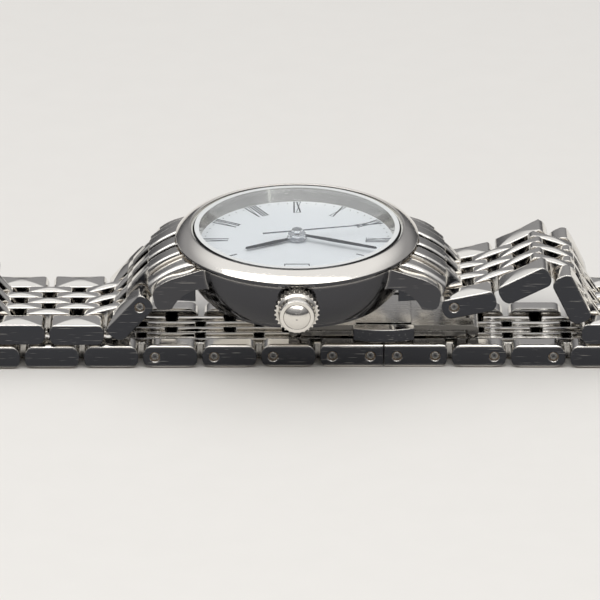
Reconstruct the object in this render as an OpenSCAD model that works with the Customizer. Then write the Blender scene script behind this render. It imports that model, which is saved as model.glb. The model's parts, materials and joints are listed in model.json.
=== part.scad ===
// Automatic dress watch on a seven-row bracelet, lying closed on its side of the bracelet.
// Millimetres. The origin is the centre of the caseback's flat face, on the dial's axis.
// X points to 12 o'clock, Y to 9 o'clock and Z out of the dial.

/* [Case] */
// Diameter over the bezel's edge
case_d = 25.5; // [25:0.1:26]
// Thickness from the caseback's flat face to the bezel's rim
case_h = 7.7; // [7.6:0.1:8]
// Height of the mid-case's top edge, where the bezel sits
bezel_seat_z = 6.13; // [6:0.05:6.2]
// Diameter of the opening in the bezel
rim_d = 22.26; // [22.1:0.05:22.5]
// Diameter of the mid-case at its top edge
mid_top_d = 24.6; // [24.4:0.1:24.8]
// Diameter of the mid-case at its bottom edge
mid_bottom_d = 20.6; // [20.4:0.1:20.8]
// Height of the mid-case's bottom edge
mid_bottom_z = 0.94; // [0.9:0.02:1]
// Diameter of the caseback
back_d = 19.8; // [19.6:0.1:20]
// Diameter of the caseback's raised flat centre
back_flat_d = 11.2; // [10:0.2:11.4]
// Clear width between the lugs
lug_gap = 13; // [12.9:0.1:13.2]
// Thickness of a lug
lug_t = 1.25; // [1:0.05:1.4]
// Reach of the lug tips from the dial's axis
lug_reach = 15; // [14.8:0.1:15.2]
// Distance of the spring bars from the dial's axis
bar_x = 13.4; // [13.3:0.05:13.5]
// Height of the spring bars
bar_z = 2.86; // [2.8:0.02:2.9]

/* [Glass and dial] */
// Thickness of the crystal
glass_t = 0.75; // [0.7:0.05:0.8]
// Height of the dial's face
dial_z = 5.6; // [5.55:0.05:5.65]
// Thickness of the dial
dial_t = 0.4; // [0.3:0.05:0.45]
// Diameter of the dial
dial_d = 21.2; // [21:0.1:21.4]
// Diameter of the dial that shows inside the flange ring
dial_open_d = 20.3; // [20:0.1:20.5]
// Width of the date window
date_w = 1.9; // [1.6:0.1:2.1]
// Distance from the dial's axis to the middle of the date window
date_r = 7.6; // [7.5:0.05:7.8]

/* [Hands] */
// Length of the hour hand
hour_len = 6.1; // [5.5:0.1:6.5]
// Length of the minute hand
minute_len = 9.1; // [8.5:0.1:9.6]
// Length of the second hand
second_len = 9.2; // [8.5:0.1:9.6]
// Length of the second hand's tail
second_tail = 3.65; // [3:0.05:4]
// Time shown, in seconds after noon
time_s = 18238; // [0:1:43199]

/* [Crown] */
// Height of the crown's axis
crown_z = 4.06; // [4:0.02:4.1]
// Diameter over the crown's flutes
crown_d = 4.65; // [4.4:0.05:4.8]
// Number of flutes on the crown
crown_flutes = 28; // [20:1:32]
// Travel when the crown is pulled out
crown_pull = 1.2; // [0.8:0.1:1.3]
// Diameter of the winding stem
stem_d = 0.9; // [0.8:0.05:1]

/* [Bracelet] */
// Pitch of the seven rows across the bracelet
row_pitch = 1.4; // [1.38:0.01:1.42]
// Gap between neighbouring rows
row_gap = 0.14; // [0.1:0.01:0.18]
// Width of the bracelet at the lugs
band_w_head = 12.8; // [12.6:0.1:12.9]
// Width of the bracelet at the clasp
band_w_clasp = 10.8; // [10.4:0.1:11.2]
// Thickness of a link
link_t = 2.6; // [2.5:0.05:2.65]
// Distance between the two pins of an outer link
pin_gap_outer = 3.2; // [3.18:0.01:3.22]
// Distance between the two pins of the three bars between
pin_gap_inner = 3.0; // [2.98:0.01:3.02]
// Reach of an outer link past its pins
outer_over = 1.25; // [1.15:0.05:1.25]
// Reach of a narrow bar past its pins
bar_over = 1.03; // [0.95:0.02:1.05]
// Diameter of the link pins
pin_d = 0.8; // [0.7:0.05:0.9]
// Clearance round a pin, on the radius
pin_play = 0.04; // [0.02:0.01:0.06]
// Diameter of the recess round a pin's end
recess_d = 1.1; // [1:0.05:1.2]
// Depth of that recess
recess_deep = 0.45; // [0.3:0.05:0.5]
// Depth of a pin's end below the link's side
pin_sunk = 0.2; // [0.1:0.05:0.3]
// Height of the surface that the bracelet lies on, below the caseback
lie_z = -6.14; // [-6.3:0.02:-6.1]
// Gap between the upper run and the lower run
run_gap = 0.3; // [0.2:0.05:0.4]

/* [Clasp] */
// Distance from the dial's axis to the seam of the clasp
seam_x = 9.1; // [9:0.05:9.2]
// Gap at the seam
seam_gap = 0.12; // [0.08:0.02:0.2]
// Distance from the seam to the nearer pin of an end piece
seam_pin = 1.4; // [1.35:0.05:1.45]
// Distance between the two pins of an end piece
end_pin_gap = 4; // [3.95:0.05:4.05]
// Thickness of the clasp's arms
arm_t = 0.6; // [0.5:0.05:0.65]
// Thickness of the clasp's base plate
plate_t = 0.6; // [0.5:0.05:0.65]
// Distance from the seam to the hinges at the base plate's ends
plate_reach = 9.4; // [9:0.1:9.6]
// Length of a push-piece along the bracelet
push_len = 6.4; // [6:0.1:6.6]
// Height of a push-piece
push_h = 1.4; // [1.2:0.1:1.5]
// Travel of a push-piece
push_travel = 0.45; // [0.3:0.05:0.5]

/* [Movement] */
// Diameter of the movement
move_d = 17.5; // [17.3:0.1:17.6]
// Running clearance of arbors and pipes, on the radius
run_play = 0.03; // [0.02:0.01:0.05]
// Thickness of the main plate
plate_main_t = 0.95; // [0.9:0.05:1]
// Diameter of the winding rotor
rotor_d = 16.8; // [16.4:0.1:17]

/* [Hidden] */
$fn = 48;
eps = 0.01;

steel = [0.80, 0.79, 0.77];
dark_steel = [0.30, 0.31, 0.34];
brass = [0.80, 0.66, 0.38];
ruby = [0.70, 0.10, 0.25];

// Heads of the bracelet: the first pin, and the heading of each piece along the chain in degrees.
// A heading is measured from the horizontal, away from the head, and up is positive.
first_pin_x = 16.4;
first_pin_z = 1.21;
low_z = lie_z + link_t / 2;
high_z = low_z + link_t + run_gap;
left_first = -48;
right_rise = [12, 21, 27, -18, -64];
left_turn = [49, 6, -53];
right_turn = [54, 25, -30];

function along(p, len, h) = [p[0] + len * cos(h), p[1] + len * sin(h)];
function seg_len(i) = i % 2 == 0 ? pin_gap_outer : pin_gap_inner;
// Pins of a chain: from p, piece i0 first, each with its heading.
function chain(p, heads, i0 = 0, i = 0) =
    i >= len(heads) ? [p] : concat([p], chain(along(p, seg_len(i0 + i), heads[i]), heads, i0, i + 1));
// The pin between two pieces of lengths a and b that join pins p and q, on the outer side of the turn.
function elbow(p, q, a, b) = let (d = norm(q - p), u = (q - p) / d, x = (a * a - b * b + d * d) / (2 * d),
    y = sqrt(a * a - x * x)) p + x * u + y * [-u[1], u[0]];
function heading(p, q) = atan2(q[1] - p[1], q[0] - p[0]);
function last(v) = v[len(v) - 1];

// Lower pins, counted from the clasp outwards, as distances from the dial's axis towards each side.
end_pin_left = -(seam_x - seam_pin - end_pin_gap);
end_pin_right = seam_x + seam_pin + end_pin_gap;
pitch = pin_gap_outer + pin_gap_inner;
left_low_count = 6;
right_low_count = 4;
function low_pins(x0, n) = [for (i = [0:2 * n - 1])
    [x0 + pin_gap_inner + floor(i / 2) * pitch + (i % 2) * pin_gap_outer, low_z]];
left_low = low_pins(end_pin_left, left_low_count);
right_low = low_pins(end_pin_right, right_low_count);

// Upper run on the left: the first link hangs, three bars level out, then two links lie flat.
left_a = chain([first_pin_x, first_pin_z], [left_first]);
left_b = let (p = last(left_a)) [p[0] + sqrt(pow(pin_gap_inner, 2) - pow(p[1] - high_z, 2)), high_z];
left_c = chain(left_b, [0, 0, 0], 0);
left_d = chain(last(left_c), left_turn, 1);
left_e = elbow(last(left_d), last(left_low), pin_gap_outer, pin_gap_inner);
function tail(v, n = 1) = [for (i = [n:1:len(v) - 1]) v[i]];
function back(v) = [for (i = [len(v) - 1:-1:0]) v[i]];
left_pins = concat(left_a, left_b == undef ? [] : [left_b], tail(left_c), tail(left_d), [left_e], back(left_low),
    [[end_pin_left, low_z]]);

// Upper run on the right: the first pieces rise to a hump, drop, and then one link lies flat.
right_a = chain([first_pin_x, first_pin_z], right_rise);
right_b = let (p = last(right_a)) [p[0] + sqrt(pow(pin_gap_inner, 2) - pow(p[1] - high_z, 2)), high_z];
right_c = chain(right_b, [0], 0);
right_d = chain(last(right_c), right_turn, 1);
right_e = elbow(last(right_d), last(right_low), pin_gap_outer, pin_gap_inner);
right_pins = concat(right_a, [right_b], tail(right_c), tail(right_d), [right_e], back(right_low),
    [[end_pin_right, low_z]]);

left_count = (len(left_pins) - 1) / 2;
right_count = (len(right_pins) - 1) / 2;
echo(left_pins = left_pins, left_count = left_count);
echo(right_pins = right_pins, right_count = right_count);

// Rows of the bracelet, by their distance from the middle
bar_w = row_pitch - row_gap;
inner_half = 2.5 * row_pitch;
rows_link = [-1, 1];
rows_between = [-2, 0, 2];

// Width of link k, in steps of 0.02
function band_w(side, k) = round(50 * (band_w_head
    - (band_w_head - band_w_clasp) * (k - 1) / (side == "left" ? left_count : right_count))) / 50;

// A flat outline with four round corners
module rounded(len, h, r) {
    square([len - 2 * r, h], center = true);
    square([len, h - 2 * r], center = true);
    for (x = [-1, 1], y = [-1, 1])
        translate([x * (len / 2 - r), y * (h / 2 - r)]) circle(r);
}

// A domed bar along X: its outer side, up, is crowned along and across. Ends are round.
crown_long = 10;
module domed_bar(len, w, t, end_r, crown_r, side_r = 0.25) {
    intersection() {
        rotate([90, 0, 0]) linear_extrude(w + 1, center = true) intersection() {
            rounded(len, t, end_r);
            translate([0, t / 2 - crown_long]) circle(crown_long, $fn = 120);
        }
        rotate([90, 0, 90]) linear_extrude(len + 1, center = true) intersection() {
            rounded(w, t, side_r);
            translate([0, t / 2 - crown_r]) circle(crown_r);
        }
    }
}

// The three narrow bars between two links, from the pin at the origin along X
module between_bars(t = link_t) {
    for (row = rows_between) translate([0, row * row_pitch, 0]) difference() {
        translate([pin_gap_inner / 2, 0, 0])
            domed_bar(pin_gap_inner + 2 * bar_over, bar_w, t, 1, 1.05);
        for (x = [0, pin_gap_inner]) translate([x, 0, 0])
            rotate([90, 0, 0]) cylinder(r = pin_d / 2 + pin_play, h = bar_w + 1, center = true);
    }
}

// An outer link with its two inner bars on two pins, from its first pin along X. ends names the pins
// whose ends show in a recess, and empty names the pin that is left out of its bores.
module pinned_link(w, ends = [], empty = []) {
    outer_w = w / 2 - inner_half - row_gap / 2;
    outer_y = w / 2 - outer_w / 2;
    difference() {
        union() {
            for (s = [-1, 1]) translate([pin_gap_outer / 2, s * outer_y, 0])
                domed_bar(pin_gap_outer + 2 * outer_over, outer_w, link_t, 1.1, 3.2, 0.3);
            for (row = rows_link) translate([pin_gap_outer / 2, row * row_pitch, 0])
                domed_bar(pin_gap_outer + 2 * bar_over, bar_w, link_t, 1, 1.05);
            for (x = [0, pin_gap_outer]) translate([x, 0, 0])
                rotate([90, 0, 0]) cylinder(d = pin_d, h = w - 1, center = true);
        }
        for (e = empty) translate([e * pin_gap_outer, 0, 0])
            rotate([90, 0, 0]) cylinder(r = pin_d / 2 + pin_play, h = w - 0.9, center = true);
        for (s = [-1, 1], e = ends) translate([e * pin_gap_outer, s * w / 2, 0]) rotate([90, 0, 0])
            cylinder(d = recess_d, h = 2 * recess_deep, center = true);
    }
    for (e = ends) translate([e * pin_gap_outer, 0, 0]) rotate([90, 0, 0])
        cylinder(d = pin_d, h = w - 2 * pin_sunk, center = true);
}

// Puts a piece on its pin: side, pin and heading
module on_chain(side, p, h) {
    if (side == "left") translate([-p[0], 0, p[1]]) rotate([0, h, 0]) rotate([0, 0, 180]) children();
    else translate([p[0], 0, p[1]]) rotate([0, -h, 0]) children();
}

// Link k of a side with the bars that join it to the piece that carries it. Bars before it run
// towards the head, bars after it run towards the clasp. ends and empty are as in pinned_link.
module band_link(side, k, ends = [], empty = [], before = true, after = false) {
    pins = side == "left" ? left_pins : right_pins;
    a = pins[2 * k - 2];
    b = pins[2 * k - 1];
    color(steel) {
        on_chain(side, a, heading(a, b)) pinned_link(band_w(side, k), ends, empty);
        if (before && k > 1) let (c = pins[2 * k - 3]) on_chain(side, c, heading(c, a)) between_bars();
        if (after) let (d = pins[2 * k]) on_chain(side, b, heading(b, d)) between_bars();
    }
}

// The link beside the open pivot: its bars keep three short pieces of the pin there
module open_link(side, k) {
    pins = side == "left" ? left_pins : right_pins;
    band_link(side, k, before = true, after = true);
    c = pins[2 * k - 3];
    for (row = rows_between) color(steel) translate([c[0], row * row_pitch, c[1]])
        rotate([90, 0, 0]) cylinder(r = pin_d / 2 + pin_play + 0.02, h = bar_w, center = true);
}

// Profile of the mid-case's wall: upright at the top edge and drawn in below
wall_drop = bezel_seat_z - mid_bottom_z;
wall_draw = (mid_top_d - mid_bottom_d) / 2;
wall_r = (wall_draw * wall_draw + wall_drop * wall_drop) / (2 * wall_draw);
dial_bottom_z = dial_z - dial_t;
well_d = rim_d + 0.04;
cavity_d = mid_bottom_d - 1.6;

module case_solid() {
    rotate_extrude($fn = 128) intersection() {
        translate([0, mid_bottom_z]) square([mid_top_d / 2, wall_drop]);
        translate([mid_top_d / 2 - wall_r, bezel_seat_z]) circle(wall_r, $fn = 128);
    }
}

module lug_outline() {
    difference() {
        polygon([[8, 6.7], [9.8, 6.12], [11, 5.72], [12, 5.38], [13, 5.06], [13.6, 4.8], [14.1, 4.5],
            [lug_reach - 0.42, 4.15], [lug_reach - 0.15, 3.78], [lug_reach, 3.3], [lug_reach - 0.2, 2.1], [lug_reach - 0.42, 1.72], [lug_reach - 0.8, 1.55],
            [13.3, 1.56], [13.05, 1.65], [8, 1.65]]);
        translate([9.5, 0.14]) circle(3.82, $fn = 96);
    }
}

module lug_pair() {
    for (s = [-1, 1]) translate([0, s * (lug_gap + lug_t) / 2, 0]) rotate([90, 0, 0])
        linear_extrude(lug_t, center = true) lug_outline();
}

module mid_case() {
    color(steel) difference() {
        union() {
            case_solid();
            intersection() {
                for (a = [0, 180]) rotate([0, 0, a]) lug_pair();
                union() {
                    translate([-20, -20, -1]) cube([40, 40, bezel_seat_z + 1]);
                }
            }
        }
        translate([0, 0, dial_bottom_z]) cylinder(d = well_d, h = 5);
        translate([0, 0, -1]) cylinder(d = cavity_d, h = 10);
        translate([0, 0, -1]) cylinder(d = mid_bottom_d - 0.3, h = mid_bottom_z + 1);
        for (a = [0, 180], s = [-1, 1]) rotate([0, 0, a]) translate([bar_x, s * lug_gap / 2, bar_z])
            rotate([90, 0, 0]) cylinder(d = 0.9, h = 1.6, center = true);
        translate([0, -mid_top_d / 2, crown_z]) rotate([90, 0, 0]) cylinder(d = tube_d, h = 6, center = true);
    }
}

rim_r = rim_d / 2;
bezel_r = case_d / 2;
glass_d = rim_d - 0.36;
glass_top_z = case_h - 0.05;
flange_top_z = glass_top_z - glass_t;
module bezel() {
    color(steel) rotate_extrude($fn = 128) intersection() {
        polygon([[rim_r, bezel_seat_z], [bezel_r - 0.4, bezel_seat_z], [bezel_r - 0.1, bezel_seat_z + 0.2],
            [bezel_r, bezel_seat_z + 0.42], [bezel_r, case_h - 0.5], [rim_r + 0.22, case_h + 0.2], [rim_r + 0.2, case_h],
            [rim_r, case_h - 0.04]]);
        translate([bezel_r - 2.45, case_h - 3.05]) circle(3.23, $fn = 128);
    }
}

module crystal() {
    color([0.9, 0.95, 1, 0.35]) rotate_extrude($fn = 128)
        polygon([[0, flange_top_z], [glass_d / 2, flange_top_z], [glass_d / 2, glass_top_z - 0.18],
            [glass_d / 2 - 0.18, glass_top_z], [0, glass_top_z]]);
}

module crystal_gasket() {
    color([0.9, 0.9, 0.88]) translate([0, 0, flange_top_z]) difference() {
        cylinder(d = rim_d, h = glass_t - 0.25);
        translate([0, 0, -1]) cylinder(d = glass_d, h = 4);
    }
}

module flange_ring() {
    color(steel) rotate_extrude($fn = 128)
        polygon([[dial_open_d / 2, dial_z], [dial_d / 2 + 0.05, dial_z], [dial_d / 2 + 0.05, dial_bottom_z],
            [rim_d / 2, dial_bottom_z], [rim_d / 2, flange_top_z], [glass_d / 2 - 0.12, flange_top_z]]);
}

module dial() {
    color([0.96, 0.97, 0.98]) difference() {
        translate([0, 0, dial_bottom_z]) cylinder(d = dial_d, h = dial_t, $fn = 128);
        translate([0, 0, dial_bottom_z - 1]) cylinder(r = hour_pipe_r + 0.06, h = 3);
        translate([0, -date_r, dial_z]) cube([date_w, date_w * 0.8, 3], center = true);
    }
}

back_rim_d = cavity_d - 0.1;
module caseback() {
    color(steel) difference() {
        rotate_extrude($fn = 128)
            polygon([[0, 0], [back_flat_d / 2, 0], [back_flat_d / 2 + 0.12, 0.12], [back_d / 2 - 0.75, 0.12],
                [back_d / 2 - 0.2, 0.35], [back_d / 2, mid_bottom_z - 0.1], [back_rim_d / 2, mid_bottom_z - 0.1],
                [back_rim_d / 2, 1.55], [back_rim_d / 2 - 0.55, 1.55], [back_rim_d / 2 - 0.55, 0.85], [0, 0.85]]);
        for (a = [0:60:300]) rotate([0, 0, a]) translate([back_d / 2 - 0.55, 0, 0])
            cube([0.9, 1.4, 0.7], center = true);
    }
}

module caseback_gasket() {
    color([0.1, 0.1, 0.1]) translate([0, 0, mid_bottom_z - 0.08]) difference() {
        cylinder(d = mid_bottom_d - 0.4, h = 0.07);
        translate([0, 0, -1]) cylinder(d = cavity_d + 0.1, h = 3);
    }
}

// Heights inside the case
plate_top_z = dial_bottom_z - 0.4;
plate_low_z = plate_top_z - plate_main_t;
bridge_low_z = 1.95;
bridge_t = 0.6;
wheel_low_z = bridge_low_z + bridge_t;

module movement_ring() {
    color([0.85, 0.85, 0.82]) translate([0, 0, 1.6]) difference() {
        cylinder(d = cavity_d - 0.06, h = dial_bottom_z - 0.02 - 1.6);
        translate([0, 0, -1]) cylinder(d = move_d + 0.06, h = 9);
        translate([0, -move_d / 2, crown_z - 1.6]) rotate([90, 0, 0]) cylinder(d = stem_d + 0.5, h = 6, center = true);
    }
}

// Gear train: teeth and pinion leaves, modules and the angle from each arbor to the next
fourth_at = [0, 0];
third_teeth = 60;
fourth_leaves = 8;
third_m = 0.064;
third_at = fourth_at + third_m * (third_teeth + fourth_leaves) / 2 * [cos(200), sin(200)];
center_teeth = 64;
third_leaves = 8;
center_m = 0.072;
center_at = third_at + center_m * (center_teeth + third_leaves) / 2 * [cos(250), sin(250)];
barrel_teeth = 66;
center_leaves = 12;
barrel_m = 0.084;
barrel_at = center_at + barrel_m * (barrel_teeth + center_leaves) / 2 * [cos(-40), sin(-40)];
fourth_teeth = 72;
escape_leaves = 8;
fourth_m = 0.049;
escape_at = fourth_at + fourth_m * (fourth_teeth + escape_leaves) / 2 * [cos(60), sin(60)];
escape_teeth = 20;
escape_r = 1.0;
pallet_at = escape_at + 1.75 * [cos(60), sin(60)];
balance_at = pallet_at + 2.2 * [cos(100), sin(100)];
motion_m = 0.09;
cannon_leaves = 10;
minute_teeth = 30;
minute_leaves = 8;
hour_teeth = 32;
minute_at = motion_m * (cannon_leaves + minute_teeth) / 2 * [cos(300), sin(300)];
arbor_r = 0.12;
balance_r = 2.2;

function angle_to(a, b) = atan2(b[1] - a[1], b[0] - a[0]);

// A thin toothed wheel. One tooth points along start.
module gear(teeth, m, t, start) {
    r = teeth * m / 2;
    half = 180 / teeth;
    rotate([0, 0, start]) linear_extrude(t) polygon([for (i = [0:teeth - 1], c = [[-0.48, -0.62], [-0.2, 0.45],
        [0.2, 0.45], [0.48, -0.62]]) let (a = (2 * i + c[0]) * half, q = r + c[1] * m) q * [cos(a), sin(a)]]);
}

// Wheel with spokes: a toothed rim, a hub and arms
module wheel(teeth, m, t, start, arms = 4) {
    r = teeth * m / 2 - m;
    difference() {
        gear(teeth, m, t, start);
        translate([0, 0, -1]) linear_extrude(t + 2) difference() {
            circle(r * 0.84);
            circle(r * 0.24);
            for (i = [0:arms - 1]) rotate(i * 360 / arms) translate([0, -r * 0.06]) square([r, r * 0.12]);
        }
    }
}

module arbor(at, low = bridge_low_z + 0.1, top = plate_low_z + 0.6) {
    translate([at[0], at[1], low]) cylinder(r = arbor_r, h = top - low);
}

module pivot_hole(at, r = arbor_r + run_play) {
    translate([at[0], at[1], -1]) cylinder(r = r, h = 12);
}

second_arbor_r = 0.11;
cannon_r = 0.28;
hour_pipe_r = 0.46;
arbors = [third_at, center_at, escape_at, pallet_at, balance_at];

module main_plate() {
    color(brass) difference() {
        union() {
            translate([0, 0, plate_low_z]) cylinder(d = move_d, h = plate_main_t);
            translate([0, 0, wheel_low_z]) difference() {
                cylinder(d = move_d, h = plate_low_z - wheel_low_z + eps);
                translate([0, 0, -1]) cylinder(d = move_d - 0.9, h = 5);
            }
        }
        pivot_hole(fourth_at, cannon_r + run_play);
        for (p = arbors) pivot_hole(p);
        pivot_hole(barrel_at, 0.25 + run_play);
        translate([minute_at[0], minute_at[1], plate_top_z - 0.3]) cylinder(r = 0.15 + run_play, h = 2);
        translate([0, -move_d / 2, crown_z]) rotate([90, 0, 0])
            cylinder(d = stem_d + 2 * run_play, h = 6, center = true);
        translate([0, 0, plate_top_z - 0.14]) difference() {
            cylinder(d = date_outer_d + 0.1, h = 1);
            translate([0, 0, -1]) cylinder(d = date_inner_d - 1.1, h = 3);
        }
    }
}

cock_at = balance_at;
module cock_outline(grow = 0) {
    translate(balance_at) circle(1.3 + grow);
    translate([balance_at[0] - 0.8 - grow, balance_at[1]]) square([1.6 + 2 * grow, 2.75 + grow]);
}

module bridge_outline() {
    difference() {
        circle(d = move_d - 0.1, $fn = 96);
        intersection() {
            translate(balance_at) circle(balance_r + 0.45);
            translate([balance_at[0] - 4, balance_at[1] - 3.2]) square([8, 8]);
        }
        cock_outline(0.05);
    }
}

module train_bridge() {
    color(steel) difference() {
        translate([0, 0, bridge_low_z]) linear_extrude(bridge_t) bridge_outline();
        for (p = [third_at, center_at, escape_at, pallet_at]) pivot_hole(p);
        pivot_hole(fourth_at, second_arbor_r + run_play);
        pivot_hole(barrel_at, 0.25 + run_play);
        translate([0, 0, bridge_low_z - 1]) cylinder(r = 0.5, h = 1.25);
    }
    color(steel) translate([0, 0, bridge_low_z - 0.25]) difference() {
        cylinder(r = 0.9, h = 0.25);
        translate([0, 0, -1]) cylinder(r = 0.5 + run_play, h = 3);
    }
}

module balance_cock() {
    color(steel) difference() {
        translate([0, 0, bridge_low_z]) linear_extrude(bridge_t) intersection() {
            cock_outline();
            circle(d = move_d - 0.1, $fn = 96);
        }
        pivot_hole(balance_at);
    }
    color(steel) translate([balance_at[0] - 0.8, balance_at[1] + 2.28, bridge_low_z + bridge_t - 0.1])
        cube([1.6, 0.3, plate_low_z - bridge_low_z - bridge_t + 0.1]);
}

module mainspring_barrel() {
    color(brass) {
        translate([barrel_at[0], barrel_at[1], 0]) {
            translate([0, 0, 2.62]) gear(barrel_teeth, barrel_m, 0.2, angle_to(barrel_at, center_at));
            translate([0, 0, 2.62]) cylinder(r = 2.55, h = 0.53);
            translate([0, 0, bridge_low_z + 0.05]) cylinder(r = 0.25, h = plate_low_z + 0.5 - bridge_low_z);
        }
    }
}

module center_wheel() {
    color(brass) {
        translate([center_at[0], center_at[1], 0]) {
            translate([0, 0, 3.28]) wheel(center_teeth, center_m, 0.14, angle_to(center_at, third_at));
            translate([0, 0, 2.6]) gear(center_leaves, barrel_m, 0.69,
                angle_to(center_at, barrel_at) + 180 / center_leaves);
        }
        arbor(center_at);
    }
}

module third_wheel() {
    color(brass) {
        translate([third_at[0], third_at[1], 0]) {
            translate([0, 0, 2.66]) wheel(third_teeth, third_m, 0.12, angle_to(third_at, fourth_at));
            translate([0, 0, 2.77]) gear(third_leaves, center_m, 0.7,
                angle_to(third_at, center_at) + 180 / third_leaves);
        }
        arbor(third_at);
    }
}

module fourth_wheel() {
    color(brass) {
        translate([0, 0, 3.08]) wheel(fourth_teeth, fourth_m, 0.12, angle_to(fourth_at, escape_at));
        translate([0, 0, 2.6]) gear(fourth_leaves, third_m, 0.49,
            angle_to(fourth_at, third_at) + 180 / fourth_leaves);
        translate([0, 0, bridge_low_z + 0.1]) cylinder(r = second_arbor_r, h = second_z - bridge_low_z);
    }
}

module escape_wheel() {
    color(steel) {
        translate([escape_at[0], escape_at[1], 0]) {
            translate([0, 0, 2.62]) linear_extrude(0.12) polygon([for (i = [0:escape_teeth - 1], c = [0, 1, 2])
                let (a = (i + [0, 0.22, 0.3][c]) * 360 / escape_teeth, q = escape_r * [0.72, 1, 0.74][c])
                q * [cos(a), sin(a)]]);
            translate([0, 0, 2.73]) gear(escape_leaves, fourth_m, 0.6,
                angle_to(escape_at, fourth_at) + 180 / escape_leaves);
        }
        arbor(escape_at);
    }
}

pallet_dir = angle_to(pallet_at, escape_at);
module pallet_fork() {
    color(steel) {
        translate([pallet_at[0], pallet_at[1], 2.62]) linear_extrude(0.14) {
            circle(0.24);
            for (s = [-1, 1]) rotate(pallet_dir + s * 58) translate([0, -0.09]) square([0.95, 0.18]);
            rotate(angle_to(pallet_at, balance_at)) translate([0, -0.07]) square([1.5, 0.14]);
        }
        arbor(pallet_at);
    }
}

module balance_wheel() {
    color(brass) {
        translate([balance_at[0], balance_at[1], 2.95]) linear_extrude(0.22) {
            difference() {
                circle(balance_r, $fn = 96);
                circle(balance_r - 0.28, $fn = 96);
            }
            square([2 * balance_r - 0.4, 0.22], center = true);
            circle(0.4);
        }
        arbor(balance_at);
    }
    color(dark_steel) translate([balance_at[0], balance_at[1], 2.62]) linear_extrude(0.1) for (i = [1:5])
        difference() {
            circle(0.2 + 0.17 * i);
            circle(0.15 + 0.17 * i);
        }
}

module rotor() {
    color(brass) {
        translate([0, 0, 1.15]) difference() {
            union() {
                cylinder(d = rotor_d, h = 0.22, $fn = 96);
                cylinder(d = rotor_d, h = 0.62, $fn = 96);
            }
            translate([0, 0, 0.22]) cylinder(d = rotor_d - 3, h = 1);
            translate([-10, 0.9, -1]) cube([20, 20, 3]);
        }
        translate([0, 0, 1.15]) cylinder(r = 1.2, h = 0.22);
        translate([0, 0, 1.15]) cylinder(r = 0.5, h = 0.85);
    }
}

date_outer_d = 17;
date_inner_d = 13.6;
module date_ring() {
    color([0.95, 0.95, 0.95]) translate([0, 0, plate_top_z - 0.1]) difference() {
        cylinder(d = date_outer_d, h = 0.32, $fn = 96);
        translate([0, 0, -1]) linear_extrude(3) difference() {
            circle(d = date_inner_d, $fn = 96);
            for (i = [0:30]) rotate(i * 360 / 31) translate([date_inner_d / 2 - 0.2, 0]) circle(0.3, $fn = 3);
        }
    }
}

minute_dir = angle_to([0, 0], minute_at);
module minute_wheel() {
    color(steel) translate([minute_at[0], minute_at[1], 0]) {
        translate([0, 0, plate_top_z + 0.04]) gear(minute_teeth, motion_m, 0.14, minute_dir + 180);
        translate([0, 0, plate_top_z + 0.17]) gear(minute_leaves, motion_m, 0.18, minute_dir + 180 + 180 / minute_leaves);
        translate([0, 0, plate_top_z - 0.28]) cylinder(r = 0.15, h = 0.5);
    }
}

// A tapered hand in its own plane: a slim leaf along X from a hub
module hand_outline(len, w, root_w, hub_r) {
    circle(hub_r);
    polygon([[0, -root_w / 2], [hub_r + 0.5, -root_w / 2], [len * 0.42, -w / 2], [len - 0.2, -w * 0.3],
        [len, 0], [len - 0.2, w * 0.3], [len * 0.42, w / 2], [hub_r + 0.5, root_w / 2], [0, root_w / 2]]);
}

hour_z = 5.85;
minute_z = 6.25;
second_z = 6.65;
hand_t = 0.15;
// Angles from 12 o'clock, turning clockwise seen from above
hour_turn = -time_s / 120;
minute_turn = -time_s / 10;
second_turn = -time_s * 6;

module hour_hand() {
    color(dark_steel) difference() {
        union() {
            translate([0, 0, hour_z]) linear_extrude(hand_t) rotate(hour_turn) hand_outline(hour_len, 0.56, 0.38, 1.05);
            translate([0, 0, plate_top_z + 0.19]) cylinder(r = hour_pipe_r, h = hour_z - plate_top_z - 0.1);
            translate([0, 0, plate_top_z + 0.19]) gear(hour_teeth, motion_m, 0.14, minute_dir);
        }
        translate([0, 0, -1]) cylinder(r = cannon_r + 2 * run_play, h = 9);
    }
}

module minute_hand() {
    color(dark_steel) difference() {
        union() {
            translate([0, 0, minute_z]) linear_extrude(hand_t) rotate(minute_turn)
                hand_outline(minute_len, 0.52, 0.34, 0.95);
            translate([0, 0, plate_low_z + 0.1]) cylinder(r = cannon_r, h = minute_z - plate_low_z);
            translate([0, 0, plate_top_z + 0.03]) gear(cannon_leaves, motion_m, 0.14,
                minute_dir + 180 / cannon_leaves);
        }
        translate([0, 0, -1]) cylinder(r = second_arbor_r + run_play, h = 9);
    }
}

module second_hand() {
    color(dark_steel) translate([0, 0, second_z]) rotate([0, 0, second_turn]) difference() {
        union() {
            cylinder(r = 0.55, h = 0.2);
            translate([0, 0, -0.2]) cylinder(r = 0.32, h = 0.25);
            linear_extrude(0.08) polygon([[-second_tail, -0.1], [second_len, -0.045], [second_len, 0.045],
                [-second_tail, 0.1]]);
        }
        translate([0, 0, -1]) cylinder(r = second_arbor_r, h = 1.08);
    }
}

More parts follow.
